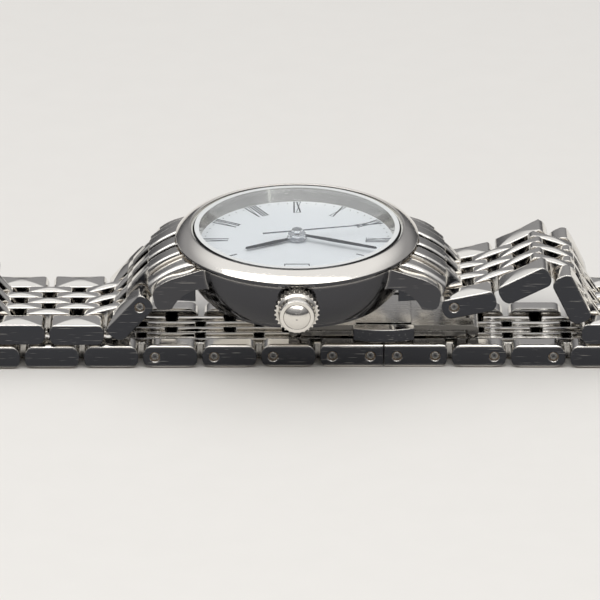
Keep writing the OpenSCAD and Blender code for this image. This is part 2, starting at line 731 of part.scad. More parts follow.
tube_d = 2.0;
crown_back_y = -12.75;
module crown() {
    h = 1.15;
    color(steel) translate([0, crown_back_y, crown_z]) rotate([90, 0, 0]) difference() {
        union() {
            linear_extrude(h) difference() {
                circle(d = crown_d, $fn = 96);
                for (i = [0:crown_flutes - 1]) rotate(i * 360 / crown_flutes)
                    translate([crown_d / 2 + 0.03, 0]) circle(0.21);
            }
            translate([0, 0, h - eps]) rotate_extrude($fn = 96) polygon([[0, 0], [crown_d / 2 - 0.2, 0],
                [1.93, 0.25], [1.85, 0.95], [1.75, 1.12], [1.42, 1.16], [1.36, 1.12], [0, 1.12]]);
            translate([0, 0, h + 1.05]) intersection() {
                translate([0, 0, -1.35]) sphere(r = 2.0, $fn = 96);
                cylinder(d = 2.7, h = 2);
            }
        }
        translate([0, 0, -1]) cylinder(d = tube_d + 2 * 0.08, h = 1.75);
        translate([0, 0, -1]) cylinder(d = stem_d + 2 * run_play, h = 2.3);
    }
}

module winding_stem() {
    color(steel) translate([0, crown_back_y - 1.2, crown_z]) rotate([-90, 0, 0])
        cylinder(d = stem_d, h = 7.2);
}

module crown_tube() {
    color(steel) translate([0, crown_back_y - 0.65, crown_z]) rotate([-90, 0, 0]) difference() {
        cylinder(d = tube_d - 0.01, h = 3);
        translate([0, 0, -1]) cylinder(d = stem_d + 2 * run_play, h = 6);
    }
}

module spring_bars() {
    color(steel) for (s = [-1, 1]) translate([s * bar_x, 0, bar_z]) rotate([90, 0, 0]) {
        cylinder(d = 1.3, h = lug_gap - 0.3, center = true);
        cylinder(d = 0.8, h = lug_gap + 1.4, center = true);
    }
}

// An end link fills the space between two lugs and carries three fingers to the bracelet's first pin.
// Its outer side follows an arch about an axis along Y, with two low shoulders beside three ridges.
arch_at = [8.41, -4.05];
arch_r = 11.15;
ridge_w = 2;
ridge_end_x = 15.6;
groove_deep = 0.85;
shoulder_w = 2.5;
shoulder_deep = 0.5;
finger_r = 1.5;
turn_r = 1.62;

module ridge_outline() {
    polygon([[10, 1.9], [10, 7], [15, 7], [17.2, 3.2], [17.35, 2.35], [16.4, 0.4], [15.2, 0.6], [14.6, 1.9]]);
    translate([first_pin_x, first_pin_z]) circle(finger_r);
}

module shoulder_outline() {
    polygon([[10, 1.9], [10, 7], [15.2, 7], [15.55, 4], [15.5, 3.5], [15.3, 2.9], [14.9, 2.4], [14.2, 2.12]]);
}

module web_outline() {
    intersection() {
        polygon([[10, 2], [10, 7], [15.1, 7], [15.3, 3], [14.5, 2.3]]);
        translate(arch_at) circle(arch_r - groove_deep, $fn = 96);
    }
}

// A disc of the arch, w wide, whose rim lies deep below the ridges and has rounded edges
module arch_disc(w, deep, edge) {
    translate([arch_at[0], 0, arch_at[1]]) rotate([90, 0, 0]) rotate_extrude($fn = 96)
        translate([arch_r - deep - 4, 0]) rounded(8, w, edge, $fn = 16);
}

// A ridge of the arch, w wide, between the case and x_end
module ridge(w, x_end) {
    intersection() {
        rotate([90, 0, 0]) linear_extrude(w, center = true) intersection() {
            ridge_outline();
            translate([0, -2]) square([x_end, 10]);
        }
        arch_disc(w, 0, 0.28);
    }
}

module end_links() {
    color(steel) for (a = [0, 180]) rotate([0, 0, a]) difference() {
        union() {
            rotate([90, 0, 0]) linear_extrude(band_w_head - 0.6, center = true) web_outline();
            for (s = [-1, 1]) translate([0, s * (band_w_head - shoulder_w) / 2, 0]) intersection() {
                rotate([90, 0, 0]) linear_extrude(shoulder_w, center = true) shoulder_outline();
                arch_disc(shoulder_w, shoulder_deep, 0.5);
            }
            for (row = rows_between) translate([0, row * row_pitch, 0]) {
                ridge(ridge_w, ridge_end_x);
                ridge(bar_w, 20);
            }
        }
        cylinder(d = mid_top_d + 0.1, h = 20, center = true, $fn = 128);
        translate([0, 0, bezel_seat_z - 0.05]) cylinder(d = case_d + 0.1, h = 9, $fn = 128);
        translate([bar_x, 0, bar_z]) rotate([90, 0, 0]) cylinder(d = 1.5, h = 20, center = true);
        translate([first_pin_x, 0, first_pin_z]) rotate([90, 0, 0])
            cylinder(r = pin_d / 2 + pin_play, h = 20, center = true);
        for (row = rows_link) translate([first_pin_x, row * row_pitch, first_pin_z]) rotate([90, 0, 0])
            cylinder(r = turn_r, h = 2 * row_pitch - bar_w, center = true);
        for (s = [-1, 1]) translate([first_pin_x, s * (2 * row_pitch + bar_w / 2 + 5), first_pin_z])
            rotate([90, 0, 0]) cylinder(r = turn_r, h = 10, center = true);
    }
}

// Clasp: an end piece from its seam pin along X, with its face at the seam
module end_piece_outline() {
    difference() {
        translate([-seam_pin + seam_gap / 2, -link_t / 2]) square([seam_pin - seam_gap / 2 + end_pin_gap + outer_over,
            link_t]);
        translate([2, 30.6]) difference() {
            translate([-8, -40]) square([20, 10.2]);
            circle(31.9, $fn = 200);
        }
        translate([end_pin_gap + outer_over, -link_t / 2]) difference() {
            translate([-1, -1]) square([2, 2]);
            translate([-1, 1]) circle(1);
        }
        translate([end_pin_gap + outer_over, link_t / 2]) difference() {
            translate([-0.6, -0.6]) square([1.2, 1.2]);
            translate([-0.6, -0.6]) circle(0.6);
        }
    }
}

module end_piece() {
    outer_w = band_w_clasp / 2 - inner_half - row_gap / 2;
    difference() {
        union() {
            for (s = [-1, 1]) translate([0, s * (band_w_clasp - outer_w) / 2, 0]) intersection() {
                rotate([90, 0, 0]) linear_extrude(outer_w + 1, center = true) end_piece_outline();
                rotate([90, 0, 90]) linear_extrude(30, center = true) rounded(outer_w, link_t, 0.3);
            }
            for (row = rows_link) translate([0, row * row_pitch, 0]) intersection() {
                rotate([90, 0, 0]) linear_extrude(bar_w, center = true) end_piece_outline();
                rotate([90, 0, 90]) linear_extrude(30, center = true) rounded(bar_w, link_t, 0.25);
            }
            for (x = [0, end_pin_gap]) translate([x, 0, 0]) rotate([90, 0, 0])
                cylinder(d = pin_d, h = band_w_clasp - 1, center = true);
        }
        for (s = [-1, 1], x = [0, end_pin_gap]) translate([x, s * band_w_clasp / 2, 0]) rotate([90, 0, 0])
            cylinder(d = recess_d, h = 2 * recess_deep, center = true);
    }
    for (x = [0, end_pin_gap]) translate([x, 0, 0]) rotate([90, 0, 0])
        cylinder(d = pin_d, h = band_w_clasp - 2 * pin_sunk, center = true);
}

// The end piece of a side with the bars that join it to the last link
module clasp_end(side) {
    pins = side == "left" ? left_pins : right_pins;
    p = last(pins);
    q = pins[len(pins) - 2];
    color(steel) {
        if (side == "left") {
            translate([-p[0] + end_pin_gap, 0, low_z]) rotate([0, 0, 180]) mirror([0, 0, 0]) end_piece();
            translate([-q[0], 0, low_z]) mirror([0, 0, 1]) between_bars();
        } else {
            translate([p[0] - end_pin_gap, 0, low_z]) end_piece();
        }
    }
}

seam_pin_left = [seam_x - seam_pin, low_z];
seam_pin_right = [seam_x + seam_pin, low_z];
arm_z = lie_z + link_t + 0.1;
plate_z = arm_z + arm_t + 0.12;
hinge_z = arm_z + 0.62;

// An arm from its seam pin along X to its hinge on the base plate
module clasp_arm() {
    reach = plate_reach - seam_pin;
    color(steel) difference() {
        union() {
            translate([1.45, -inner_half + 0.1, arm_z]) cube([reach - 2.2, 2 * inner_half - 0.2, arm_t]);
            for (row = rows_between) translate([0, row * row_pitch, 0]) rotate([90, 0, 0])
                linear_extrude(bar_w, center = true) union() {
                    translate([0, low_z]) circle(0.85);
                    polygon([[-0.5, low_z + 0.6], [0.85, low_z], [1.9, arm_z], [1.9, arm_z + arm_t],
                        [0.2, arm_z + arm_t]]);
                }
            translate([reach, 0, hinge_z]) rotate([90, 0, 0]) cylinder(r = 0.6, h = 3.2, center = true);
            translate([reach - 0.9, -1.6, arm_z]) cube([0.9, 3.2, arm_t]);
        }
        for (p = [[0, low_z, pin_d], [reach, hinge_z, 0.6]]) translate([p[0], 0, p[1]]) rotate([90, 0, 0])
            cylinder(r = p[2] / 2 + pin_play, h = 20, center = true);
    }
}

// The base plate with the ears and pins of its two hinges, and the block that guides the push-pieces
module clasp_plate() {
    color(steel) difference() {
        union() {
            translate([seam_x - plate_reach + 0.75, -inner_half, plate_z])
                cube([2 * plate_reach - 1.5, 2 * inner_half, plate_t]);
            for (s = [-1, 1]) translate([seam_x + s * plate_reach, 0, hinge_z]) rotate([90, 0, 0]) {
                cylinder(d = 0.6, h = 2 * inner_half - 0.4, center = true);
                for (e = [-1, 1]) translate([0, 0, e * (inner_half - 0.9)])
                    cylinder(r = 0.6, h = 1.8, center = true);
            }
            for (s = [-1, 1], e = [-1, 1]) translate([seam_x + s * (plate_reach - 0.5), e * (inner_half - 0.9),
                plate_z + plate_t / 2]) cube([1.0, 1.8, plate_t], center = true);
            translate([seam_x - push_len / 2 + 0.3, -inner_half, plate_z]) cube([push_len - 0.6, 2 * inner_half, 0.9]);
        }
        for (x = [-1, 1]) translate([seam_x + x * guide_x, 0, guide_z]) rotate([90, 0, 0]) difference() {
            cylinder(r = 0.2 + pin_play, h = 20, center = true);
            cylinder(r = 1, h = 2 * inner_half - 3.2, center = true);
        }
    }
}

guide_x = 1.9;
guide_z = plate_z + 0.45;
push_out = inner_half + 2.0;

// A push-piece: a bar with a bowed outer face on two guide pins
module push_piece() {
    color(steel) {
        translate([seam_x, 0, lie_z + 2.95]) linear_extrude(push_h) intersection() {
            translate([-push_len / 2, inner_half + 0.55]) square([push_len, 2]);
            translate([0, push_out - 9.6]) circle(9.6, $fn = 96);
        }
        for (x = [-1, 1]) translate([seam_x + x * guide_x, inner_half - 1.0, guide_z]) rotate([-90, 0, 0])
            cylinder(r = 0.2, h = 1.7);
    }
}

module push_piece_near() mirror([0, 1, 0]) push_piece();
module push_piece_far() push_piece();

mid_case();
bezel();
crystal();
crystal_gasket();
flange_ring();
dial();
caseback();
caseback_gasket();
movement_ring();
main_plate();
train_bridge();
balance_cock();
mainspring_barrel();
center_wheel();
third_wheel();
fourth_wheel();
escape_wheel();
pallet_fork();
balance_wheel();
rotor();
date_ring();
minute_wheel();
hour_hand();
minute_hand();
second_hand();
crown();
winding_stem();
crown_tube();
spring_bars();
end_links();
band_link("left", 1, [0]);  // link_left_1
band_link("left", 2);  // link_left_2
band_link("left", 3);  // link_left_3
band_link("left", 4);  // link_left_4
band_link("left", 5);  // link_left_5
band_link("left", 6);  // link_left_6
band_link("left", 7);  // link_left_7
band_link("left", 8);  // link_left_8
band_link("left", 9, [0]);  // link_left_9
band_link("left", 10, [0]);  // link_left_10
band_link("left", 11, [0]);  // link_left_11
band_link("right", 1, [0]);  // link_right_1
band_link("right", 2);  // link_right_2
band_link("right", 3);  // link_right_3
band_link("right", 4);  // link_right_4
band_link("right", 5);  // link_right_5
band_link("right", 6, empty = [1]);  // link_right_6
open_link("right", 7);  // link_right_7
band_link("right", 8, [0], before = false, after = true);  // link_right_8
band_link("right", 9, [0], before = false, after = true);  // link_right_9
band_link("right", 10, [0], before = false, after = true);  // link_right_10
clasp_end("left");  // clasp_end_left
clasp_end("right");  // clasp_end_right
translate([seam_x - seam_pin, 0, 0]) mirror([1, 0, 0]) clasp_arm();  // clasp_arm_left
translate([seam_x + seam_pin, 0, 0]) clasp_arm();  // clasp_arm_right
clasp_plate();
push_piece_near();
push_piece_far();
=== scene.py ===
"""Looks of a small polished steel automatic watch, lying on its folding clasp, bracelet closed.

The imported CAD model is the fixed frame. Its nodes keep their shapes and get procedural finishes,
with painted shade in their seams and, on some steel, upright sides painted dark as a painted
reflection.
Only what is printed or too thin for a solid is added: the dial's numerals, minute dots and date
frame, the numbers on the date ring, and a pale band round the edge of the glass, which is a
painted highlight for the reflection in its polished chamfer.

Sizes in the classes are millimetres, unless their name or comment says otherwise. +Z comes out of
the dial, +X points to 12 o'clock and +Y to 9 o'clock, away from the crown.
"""

from __future__ import annotations

import json
import logging
import math
from dataclasses import dataclass, field
from enum import Enum
from typing import Any

import bpy
from mathutils import Matrix, Vector

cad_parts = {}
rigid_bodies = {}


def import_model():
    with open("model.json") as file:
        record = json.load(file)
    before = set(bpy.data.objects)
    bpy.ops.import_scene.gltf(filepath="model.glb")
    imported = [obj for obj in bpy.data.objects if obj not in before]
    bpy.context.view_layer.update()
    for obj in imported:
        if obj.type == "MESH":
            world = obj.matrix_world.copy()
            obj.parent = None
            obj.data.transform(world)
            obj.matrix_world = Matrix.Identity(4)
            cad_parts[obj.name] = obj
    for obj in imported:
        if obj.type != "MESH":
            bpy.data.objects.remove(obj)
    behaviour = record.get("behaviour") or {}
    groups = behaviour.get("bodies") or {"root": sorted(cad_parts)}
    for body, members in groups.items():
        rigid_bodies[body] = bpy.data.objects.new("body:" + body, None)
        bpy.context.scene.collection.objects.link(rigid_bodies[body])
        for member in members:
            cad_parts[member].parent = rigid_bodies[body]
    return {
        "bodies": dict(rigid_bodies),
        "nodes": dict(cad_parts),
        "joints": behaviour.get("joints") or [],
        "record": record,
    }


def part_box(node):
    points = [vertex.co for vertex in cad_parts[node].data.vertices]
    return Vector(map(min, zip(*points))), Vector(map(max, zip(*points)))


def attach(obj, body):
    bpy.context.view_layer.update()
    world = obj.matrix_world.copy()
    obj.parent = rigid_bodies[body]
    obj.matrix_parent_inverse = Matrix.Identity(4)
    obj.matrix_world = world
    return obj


MM = 0.001
HOURS = 12
MINUTES = 60
MINUTES_PER_HOUR_MARK = MINUTES // HOURS
LOG = logging.getLogger("watch_scene")

Colour = tuple[float, float, float, float]
Pair = tuple[float, float]
Stroke = tuple[float, float, float, float, float]

# Sockets of a Mix node that mixes colours, which has a set of them for each type of data
MIX_SHARE, MIX_A, MIX_B, MIX_OUT = 0, 6, 7, 2
# Rays that the bevel and the ambient occlusion nodes send from each point
SHADE_SAMPLES = 6


def linear(hex_value: str) -> Colour:
    """Turns an sRGB hex colour to the linear colour that shaders take.

    Args:
        hex_value: the colour as six hex digits, such as "F2F0EC".

    Returns:
        Red, green, blue and an alpha of 1.
    """
    parts = [int(hex_value[i:i + 2], 16) / 255 for i in (0, 2, 4)]
    red, green, blue = (
        c / 12.92 if c <= 0.04045 else ((c + 0.055) / 1.055) ** 2.4 for c in parts
    )
    return red, green, blue, 1.0


def add_node(
    tree: bpy.types.NodeTree,
    kind: str,
    inputs: dict[str | int, Any] | None = None,
    **settings: Any,
) -> bpy.types.Node:
    """Adds a node with its settings, and sets or links its inputs.

    Args:
        tree: the node tree that gets the node.
        kind: Blender's name of the node type.
        inputs: socket name or number, with a constant or an output socket to link from.
        settings: the node's own properties.

    Returns:
        The new node.
    """
    node = tree.nodes.new(kind)
    for name, value in settings.items():
        setattr(node, name, value)
    for key, value in (inputs or {}).items():
        if isinstance(value, bpy.types.NodeSocket):
            tree.links.new(value, node.inputs[key])
        else:
            node.inputs[key].default_value = value
    return node


def empty_material(name: str) -> tuple[bpy.types.Material, bpy.types.NodeTree]:
    """Makes a material with nothing in its node tree.

    Args:
        name: the material's name.

    Returns:
        The material and its node tree.
    """
    material = bpy.data.materials.new(name)
    material.use_nodes = True
    material.node_tree.nodes.clear()
    return material, material.node_tree


class Slot(Enum):
    """The record's material slots, named for the new pieces."""

    DIAL = "dial_face"
    DATE = "date_face"
    CRYSTAL = "crystal"


class Grain(Enum):
    """How a surface's fine lines run: the turns of its two sets of lines about Z, in radians."""

    RANDOM = (0.5, -0.8)
    ALONG_X = (0.0, 0.03)
    CROSSED = (0.0, math.pi / 2)


@dataclass(frozen=True)
class MetalFinish:
    """A bare metal surface, with polish haze, fine scratches, dirt with painted shade where parts
    meet, and, where set, upright sides painted dark as a painted reflection.

    Sizes are real ones. A scratch is drawn as wide as it needs to be to show.

    Attributes:
        name: what the metal is and how it was finished.
        colour: the clean metal, as hex digits.
        dirt: what gathers in its seams, and the painted shade there, as hex digits.
        roughness: where the polish is best, and where it is hazy.
        haze_mm: the size of a hazy patch.
        haze_level: the noise levels at which haze starts and is full.
        grain: how the scratches run.
        scratch_mm: a scratch's width.
        scratch_run: a scratch's length, in widths.
        scratch_tip: how far the lines are tipped about X, and about Y for each turn about Z, in
            radians, so that they show on every face.
        scratch_level: the noise levels at which a scratch starts and is full.
        scratch_rough: the roughness that a scratch adds.
        scratch_bump_mm: a scratch's depth.
        scratch_bump: the share of that depth that catches the light.
        dirt_reach_mm: how near another face is where dirt and painted shade hold.
        dirt_share: how open a point is where dirt and painted shade are full, and where there
            is none.
        dirt_dulls: the share of the metal's shine that full dirt and painted shade take.
        side_colour: the dark that upright sides are painted with, a painted reflection of a
            dim room, as hex digits, or None for a surface without them.
        side_band: how far up a face looks where it leaves the painted side reflection, and has
            its own colour.
        side_wear: how much a scratch lifts the painted dark on a side.
        under_band: how far down a face looks where it leaves the painted side reflection, and
            has its own colour.
        tucked_band: how open a point is where the painted side reflection starts to go, and is
            gone.
        boss_colour: the bright boss round the Z axis, as hex digits, or None without one.
        boss_mm: the boss's radius.
        boss_blend_mm: the width over which the boss goes over to the blade.
        edge_mm: the radius that the light sees on an edge.
    """

    name: str
    colour: str
    dirt: str
    roughness: Pair
    haze_mm: float = 1.6
    haze_level: Pair = (0.36, 0.66)
    grain: Grain = Grain.RANDOM
    scratch_mm: float = 0.065
    scratch_run: float = 48.0
    scratch_tip: Pair = (0.3, 0.9)
    scratch_level: Pair = (0.64, 0.74)
    scratch_rough: float = 0.10
    scratch_bump_mm: float = 0.004
    scratch_bump: float = 0.35
    dirt_reach_mm: float = 0.55
    dirt_share: Pair = (0.18, 0.62)
    dirt_dulls: float = 0.85
    side_colour: str | None = None
    side_band: Pair = (0.10, 0.46)
    side_wear: float = 0.26
    under_band: Pair = (-0.80, -0.97)
    tucked_band: Pair = (0.86, 0.60)
    boss_colour: str | None = None
    boss_mm: float = 1.0
    boss_blend_mm: float = 0.1
    edge_mm: float = 0.05

    def build(self) -> bpy.types.Material:
        """Makes the material.

        Returns:
            A metal shader whose colour, roughness and bump are patterns on Object coordinates,
            with painted shade from ambient occlusion in its seams and, where set, painted dark
            sides.
        """
        material, tree = empty_material(self.name)
        place = add_node(tree, "ShaderNodeTexCoord").outputs["Object"]
        scratches = self.scratches(tree, place)
        rough = self.polish(tree, place, scratches)
        shade = add_node(
            tree, "ShaderNodeAmbientOcclusion", {"Distance": self.dirt_reach_mm * MM},
            samples=SHADE_SAMPLES,
        )
        # Painted shade and dirt: where ambient occlusion finds near faces, the colour goes over to
        # the seam colour and the shine drops
        dirt = add_node(
            tree, "ShaderNodeMapRange",
            {"Value": shade.outputs["AO"], "From Min": self.dirt_share[0],
             "From Max": self.dirt_share[1], "To Min": 1.0, "To Max": 0.0},
        )
        rounded = add_node(
            tree, "ShaderNodeBevel", {"Radius": self.edge_mm * MM}, samples=SHADE_SAMPLES
        )
        clean = self.clean_colour(tree, place, rounded.outputs[0], scratches, shade.outputs["AO"])
        colour = add_node(
            tree, "ShaderNodeMix",
            {MIX_SHARE: dirt.outputs[0], MIX_A: clean, MIX_B: linear(self.dirt)},
            data_type="RGBA",
        )
        bump = add_node(
            tree, "ShaderNodeBump",
            {"Height": scratches, "Strength": self.scratch_bump,
             "Distance": self.scratch_bump_mm * MM, "Normal": rounded.outputs[0]},
            invert=True,
        )
        bare = add_node(
            tree, "ShaderNodeMath", {0: dirt.outputs[0], 1: -self.dirt_dulls, 2: 1.0},
            operation="MULTIPLY_ADD",
        )
        shader = add_node(
            tree, "ShaderNodeBsdfPrincipled",
            {"Base Color": colour.outputs[MIX_OUT], "Metallic": bare.outputs[0],
             "Roughness": rough, "Normal": bump.outputs[0]},
        )
        add_node(tree, "ShaderNodeOutputMaterial", {"Surface": shader.outputs[0]})
        return material

    def scratches(
        self, tree: bpy.types.NodeTree, place: bpy.types.NodeSocket
    ) -> bpy.types.NodeSocket:
        """Draws fine lines in the two directions of the grain.

        Args:
            tree: the material's nodes.
            place: the Object coordinates.

        Returns:
            A socket that is 1 in a scratch and 0 beside it.
        """
        about_x, about_y = self.scratch_tip
        lines = []
        for turn in self.grain.value:
            laid = add_node(
                tree, "ShaderNodeMapping",
                {"Vector": place, "Rotation": (about_x, turn * about_y, turn),
                 "Scale": (1 / self.scratch_run, 1.0, 1.0)},
            )
            noise = add_node(
                tree, "ShaderNodeTexNoise",
                {"Vector": laid.outputs[0], "Scale": 1 / (self.scratch_mm * MM), "Detail": 2.0},
            )
            line = add_node(
                tree, "ShaderNodeMapRange",
                {"Value": noise.outputs[0], "From Min": self.scratch_level[0],
                 "From Max": self.scratch_level[1]},
            )
            lines.append(line.outputs[0])
        both = add_node(
            tree, "ShaderNodeMath", {0: lines[0], 1: lines[1]}, operation="MAXIMUM"
        )
        return both.outputs[0]

    def polish(
        self, tree: bpy.types.NodeTree, place: bpy.types.NodeSocket,
        scratches: bpy.types.NodeSocket,
    ) -> bpy.types.NodeSocket:
        """Gives the roughness, which is higher in hazy patches and in a scratch.

        Args:
            tree: the material's nodes.
            place: the Object coordinates.
            scratches: the scratch pattern.

        Returns:
            The roughness.
        """
        haze = add_node(
            tree, "ShaderNodeTexNoise",
            {"Vector": place, "Scale": 1 / (self.haze_mm * MM), "Detail": 4.0},
        )
        rough = add_node(
            tree, "ShaderNodeMapRange",
            {"Value": haze.outputs[0], "From Min": self.haze_level[0],
             "From Max": self.haze_level[1], "To Min": self.roughness[0],
             "To Max": self.roughness[1]},
        )
        worn = add_node(
            tree, "ShaderNodeMath", {0: scratches, 1: self.scratch_rough, 2: rough.outputs[0]},
            operation="MULTIPLY_ADD",
        )
        return worn.outputs[0]

    def clean_colour(
        self, tree: bpy.types.NodeTree, place: bpy.types.NodeSocket,
        rounded: bpy.types.NodeSocket, scratches: bpy.types.NodeSocket,
        openness: bpy.types.NodeSocket,
    ) -> bpy.types.NodeSocket | Colour:
        """Gives the metal's colour before its dirt and painted shade, with the painted dark sides
        where they are set.

        Args:
            tree: the material's nodes.
            place: the Object coordinates.
            rounded: the normal with its edges eased.
            scratches: the scratch pattern.
            openness: how free a point is.

        Returns:
            A colour, or the socket of one that changes with the place or the face.
        """
        if self.boss_colour is not None:
            return self.boss_and_blade(tree, place, self.boss_colour)
        # Painted reflection: upright sides take a set dark colour, which stands for a dim room
        # mirrored in them
        if self.side_colour is not None:
            return self.face_and_side(tree, rounded, scratches, openness, self.side_colour)
        return linear(self.colour)

    def boss_and_blade(
        self, tree: bpy.types.NodeTree, place: bpy.types.NodeSocket, boss_colour: str
    ) -> bpy.types.NodeSocket:
        """Makes a hand bright on its boss, round the Z axis.

        Args:
            tree: the material's nodes.
            place: the Object coordinates.
            boss_colour: the boss, as hex digits.

        Returns:
            The boss's colour, which goes over to the finish's own on the blade.
        """
        flat = add_node(
            tree, "ShaderNodeVectorMath", {0: place, 1: (1, 1, 0)}, operation="MULTIPLY"
        )
        reach = add_node(
            tree, "ShaderNodeVectorMath", {0: flat.outputs[0]}, operation="LENGTH"
        )
        blade = add_node(
            tree, "ShaderNodeMapRange",
            {"Value": reach.outputs["Value"], "From Min": self.boss_mm * MM,
             "From Max": (self.boss_mm + self.boss_blend_mm) * MM},
        )
        mixed = add_node(
            tree, "ShaderNodeMix",
            {MIX_SHARE: blade.outputs[0], MIX_A: linear(boss_colour),
             MIX_B: linear(self.colour)},
            data_type="RGBA",
        )
        return mixed.outputs[MIX_OUT]

    def face_and_side(
        self, tree: bpy.types.NodeTree, rounded: bpy.types.NodeSocket,
        scratches: bpy.types.NodeSocket, openness: bpy.types.NodeSocket, side_colour: str,
    ) -> bpy.types.NodeSocket:
        """Paints the free upright sides dark, a painted reflection of a dim room, with the
        scratches as faint light lines on them.

        Args:
            tree: the material's nodes.
            rounded: the normal with its edges eased, so that an edge keeps the face's own colour
            above the painted dark side.
            scratches: the scratch pattern.
            openness: how free a point is, because a pin in its recess keeps the steel's own
                colour, without the painted dark.
            side_colour: the painted dark on the sides, as hex digits.

        Returns:
            The painted dark side reflection, which goes over to the finish's own colour on faces
            that look up or down.
        """
        own = add_node(
            tree, "ShaderNodeVectorTransform", {0: rounded},
            vector_type="NORMAL", convert_from="WORLD", convert_to="OBJECT",
        )
        rise = add_node(tree, "ShaderNodeSeparateXYZ", {0: own.outputs[0]}).outputs["Z"]
        worn = add_node(
            tree, "ShaderNodeMath", {0: scratches, 1: self.side_wear, 2: rise},
            operation="MULTIPLY_ADD",
        )
        upper = add_node(
            tree, "ShaderNodeMapRange",
            {"Value": worn.outputs[0], "From Min": self.side_band[0],
             "From Max": self.side_band[1]},
            interpolation_type="SMOOTHSTEP",
        )
        lower = add_node(
            tree, "ShaderNodeMapRange",
            {"Value": rise, "From Min": self.under_band[0], "From Max": self.under_band[1]},
        )
        tucked = add_node(
            tree, "ShaderNodeMapRange",
            {"Value": openness, "From Min": self.tucked_band[0],
             "From Max": self.tucked_band[1]},
        )
        hidden = add_node(
            tree, "ShaderNodeMath", {0: tucked.outputs[0], 1: lower.outputs[0]},
            operation="MAXIMUM",
        )
        face = add_node(
            tree, "ShaderNodeMath", {0: upper.outputs[0], 1: hidden.outputs[0]},
            operation="MAXIMUM",
        )
        # Painted reflection: the dark side colour on free faces that look sideways
        mixed = add_node(
            tree, "ShaderNodeMix",
            {MIX_SHARE: face.outputs[0], MIX_A: linear(side_colour),
             MIX_B: linear(self.colour)},
            data_type="RGBA",
        )
        return mixed.outputs[MIX_OUT]


@dataclass(frozen=True)
class CoatFinish:
    """A painted, printed or moulded surface: a base colour that varies a little, and a fine bump.

    Attributes:
        name: what the material is and how it was made.
        colour: its main colour, as hex digits.
        second_colour: what its grain goes over to, as hex digits.
        roughness: the same all over.
        grain_mm: the size of its grain.
        bump_mm: the height of its grain.
        bump: the share of that height that catches the light.
        coat: how much clear coat lies on it, from 0 to 1.
        specular: how strongly it mirrors.
    """

    name: str
    colour: str
    second_colour: str
    roughness: float
    grain_mm: float
    bump_mm: float
    bump: float = 0.3
    coat: float = 0.0
    specular: float = 0.5

    def build(self) -> bpy.types.Material:
        """Makes the material.

        Returns:
            A dielectric shader with a two-tone grain at the real size.
        """
        material, tree = empty_material(self.name)
        place = add_node(tree, "ShaderNodeTexCoord").outputs["Object"]
        grain = add_node(
            tree, "ShaderNodeTexNoise",
            {"Vector": place, "Scale": 1 / (self.grain_mm * MM), "Detail": 3.0},
        )
        colour = add_node(
            tree, "ShaderNodeMix",
            {MIX_SHARE: grain.outputs[0], MIX_A: linear(self.colour),
             MIX_B: linear(self.second_colour)},
            data_type="RGBA",
        )
        bump = add_node(
            tree, "ShaderNodeBump",
            {"Height": grain.outputs[0], "Strength": self.bump, "Distance": self.bump_mm * MM},
        )
        shader = add_node(
            tree, "ShaderNodeBsdfPrincipled",
            {"Base Color": colour.outputs[MIX_OUT], "Roughness": self.roughness,
             "Coat Weight": self.coat, "Specular IOR Level": self.specular,
             "Normal": bump.outputs[0]},
        )
        add_node(tree, "ShaderNodeOutputMaterial", {"Surface": shader.outputs[0]})
        return material


@dataclass(frozen=True)
class GlassFinish:
    """Clear glass with hairline scratches on its face.

    Attributes:
        name: what the glass is.
        colour: its tint, as hex digits.
        roughness: of the unscratched face.
        ior: its index of refraction.
        passing: what is left of the lamps' light behind it, as hex digits.
        scratch_mm: a scratch's width, as wide as it needs to be to show.
        scratch_run: a scratch's length, in widths.
        scratch_turn: the scratches' direction about Z, in radians.
        scratch_level: the noise levels at which a scratch starts and is full.
        scratch_rough: the roughness that a scratch adds.
    """

    name: str
    colour: str
    roughness: float
    ior: float
    passing: str = "F6F7F7"
    scratch_mm: float = 0.12
    scratch_run: float = 20.0
    scratch_turn: float = 0.7
    scratch_level: Pair = (0.70, 0.80)
    scratch_rough: float = 0.12

    def build(self) -> bpy.types.Material:
        """Makes the material.

        Returns:
            A transmitting shader whose few scratches only lift its roughness, and which lets the
            lamps' light through to the dial.
        """
        material, tree = empty_material(self.name)
        place = add_node(tree, "ShaderNodeTexCoord").outputs["Object"]
        laid = add_node(
            tree, "ShaderNodeMapping",
            {"Vector": place, "Rotation": (0.0, 0.0, self.scratch_turn),
             "Scale": (1 / self.scratch_run, 1.0, 1.0)},
        )
        noise = add_node(
            tree, "ShaderNodeTexNoise",
            {"Vector": laid.outputs[0], "Scale": 1 / (self.scratch_mm * MM)},
        )
        rough = add_node(
            tree, "ShaderNodeMapRange",
            {"Value": noise.outputs[0], "From Min": self.scratch_level[0],
             "From Max": self.scratch_level[1], "To Min": self.roughness,
             "To Max": self.roughness + self.scratch_rough},
        )
        shader = add_node(
            tree, "ShaderNodeBsdfPrincipled",
            {"Base Color": linear(self.colour), "Roughness": rough.outputs[0],
             "IOR": self.ior, "Transmission Weight": 1.0},
        )
        path = add_node(tree, "ShaderNodeLightPath").outputs
        light = add_node(
            tree, "ShaderNodeMath", {0: path["Is Shadow Ray"], 1: path["Is Diffuse Ray"]},
            operation="MAXIMUM",
        )
        clear = add_node(tree, "ShaderNodeBsdfTransparent", {"Color": linear(self.passing)})
        both = add_node(
            tree, "ShaderNodeMixShader",
            {0: light.outputs[0], 1: shader.outputs[0], 2: clear.outputs[0]},
        )
        add_node(tree, "ShaderNodeOutputMaterial", {"Surface": both.outputs[0]})
        return material


Finish = MetalFinish | CoatFinish | GlassFinish

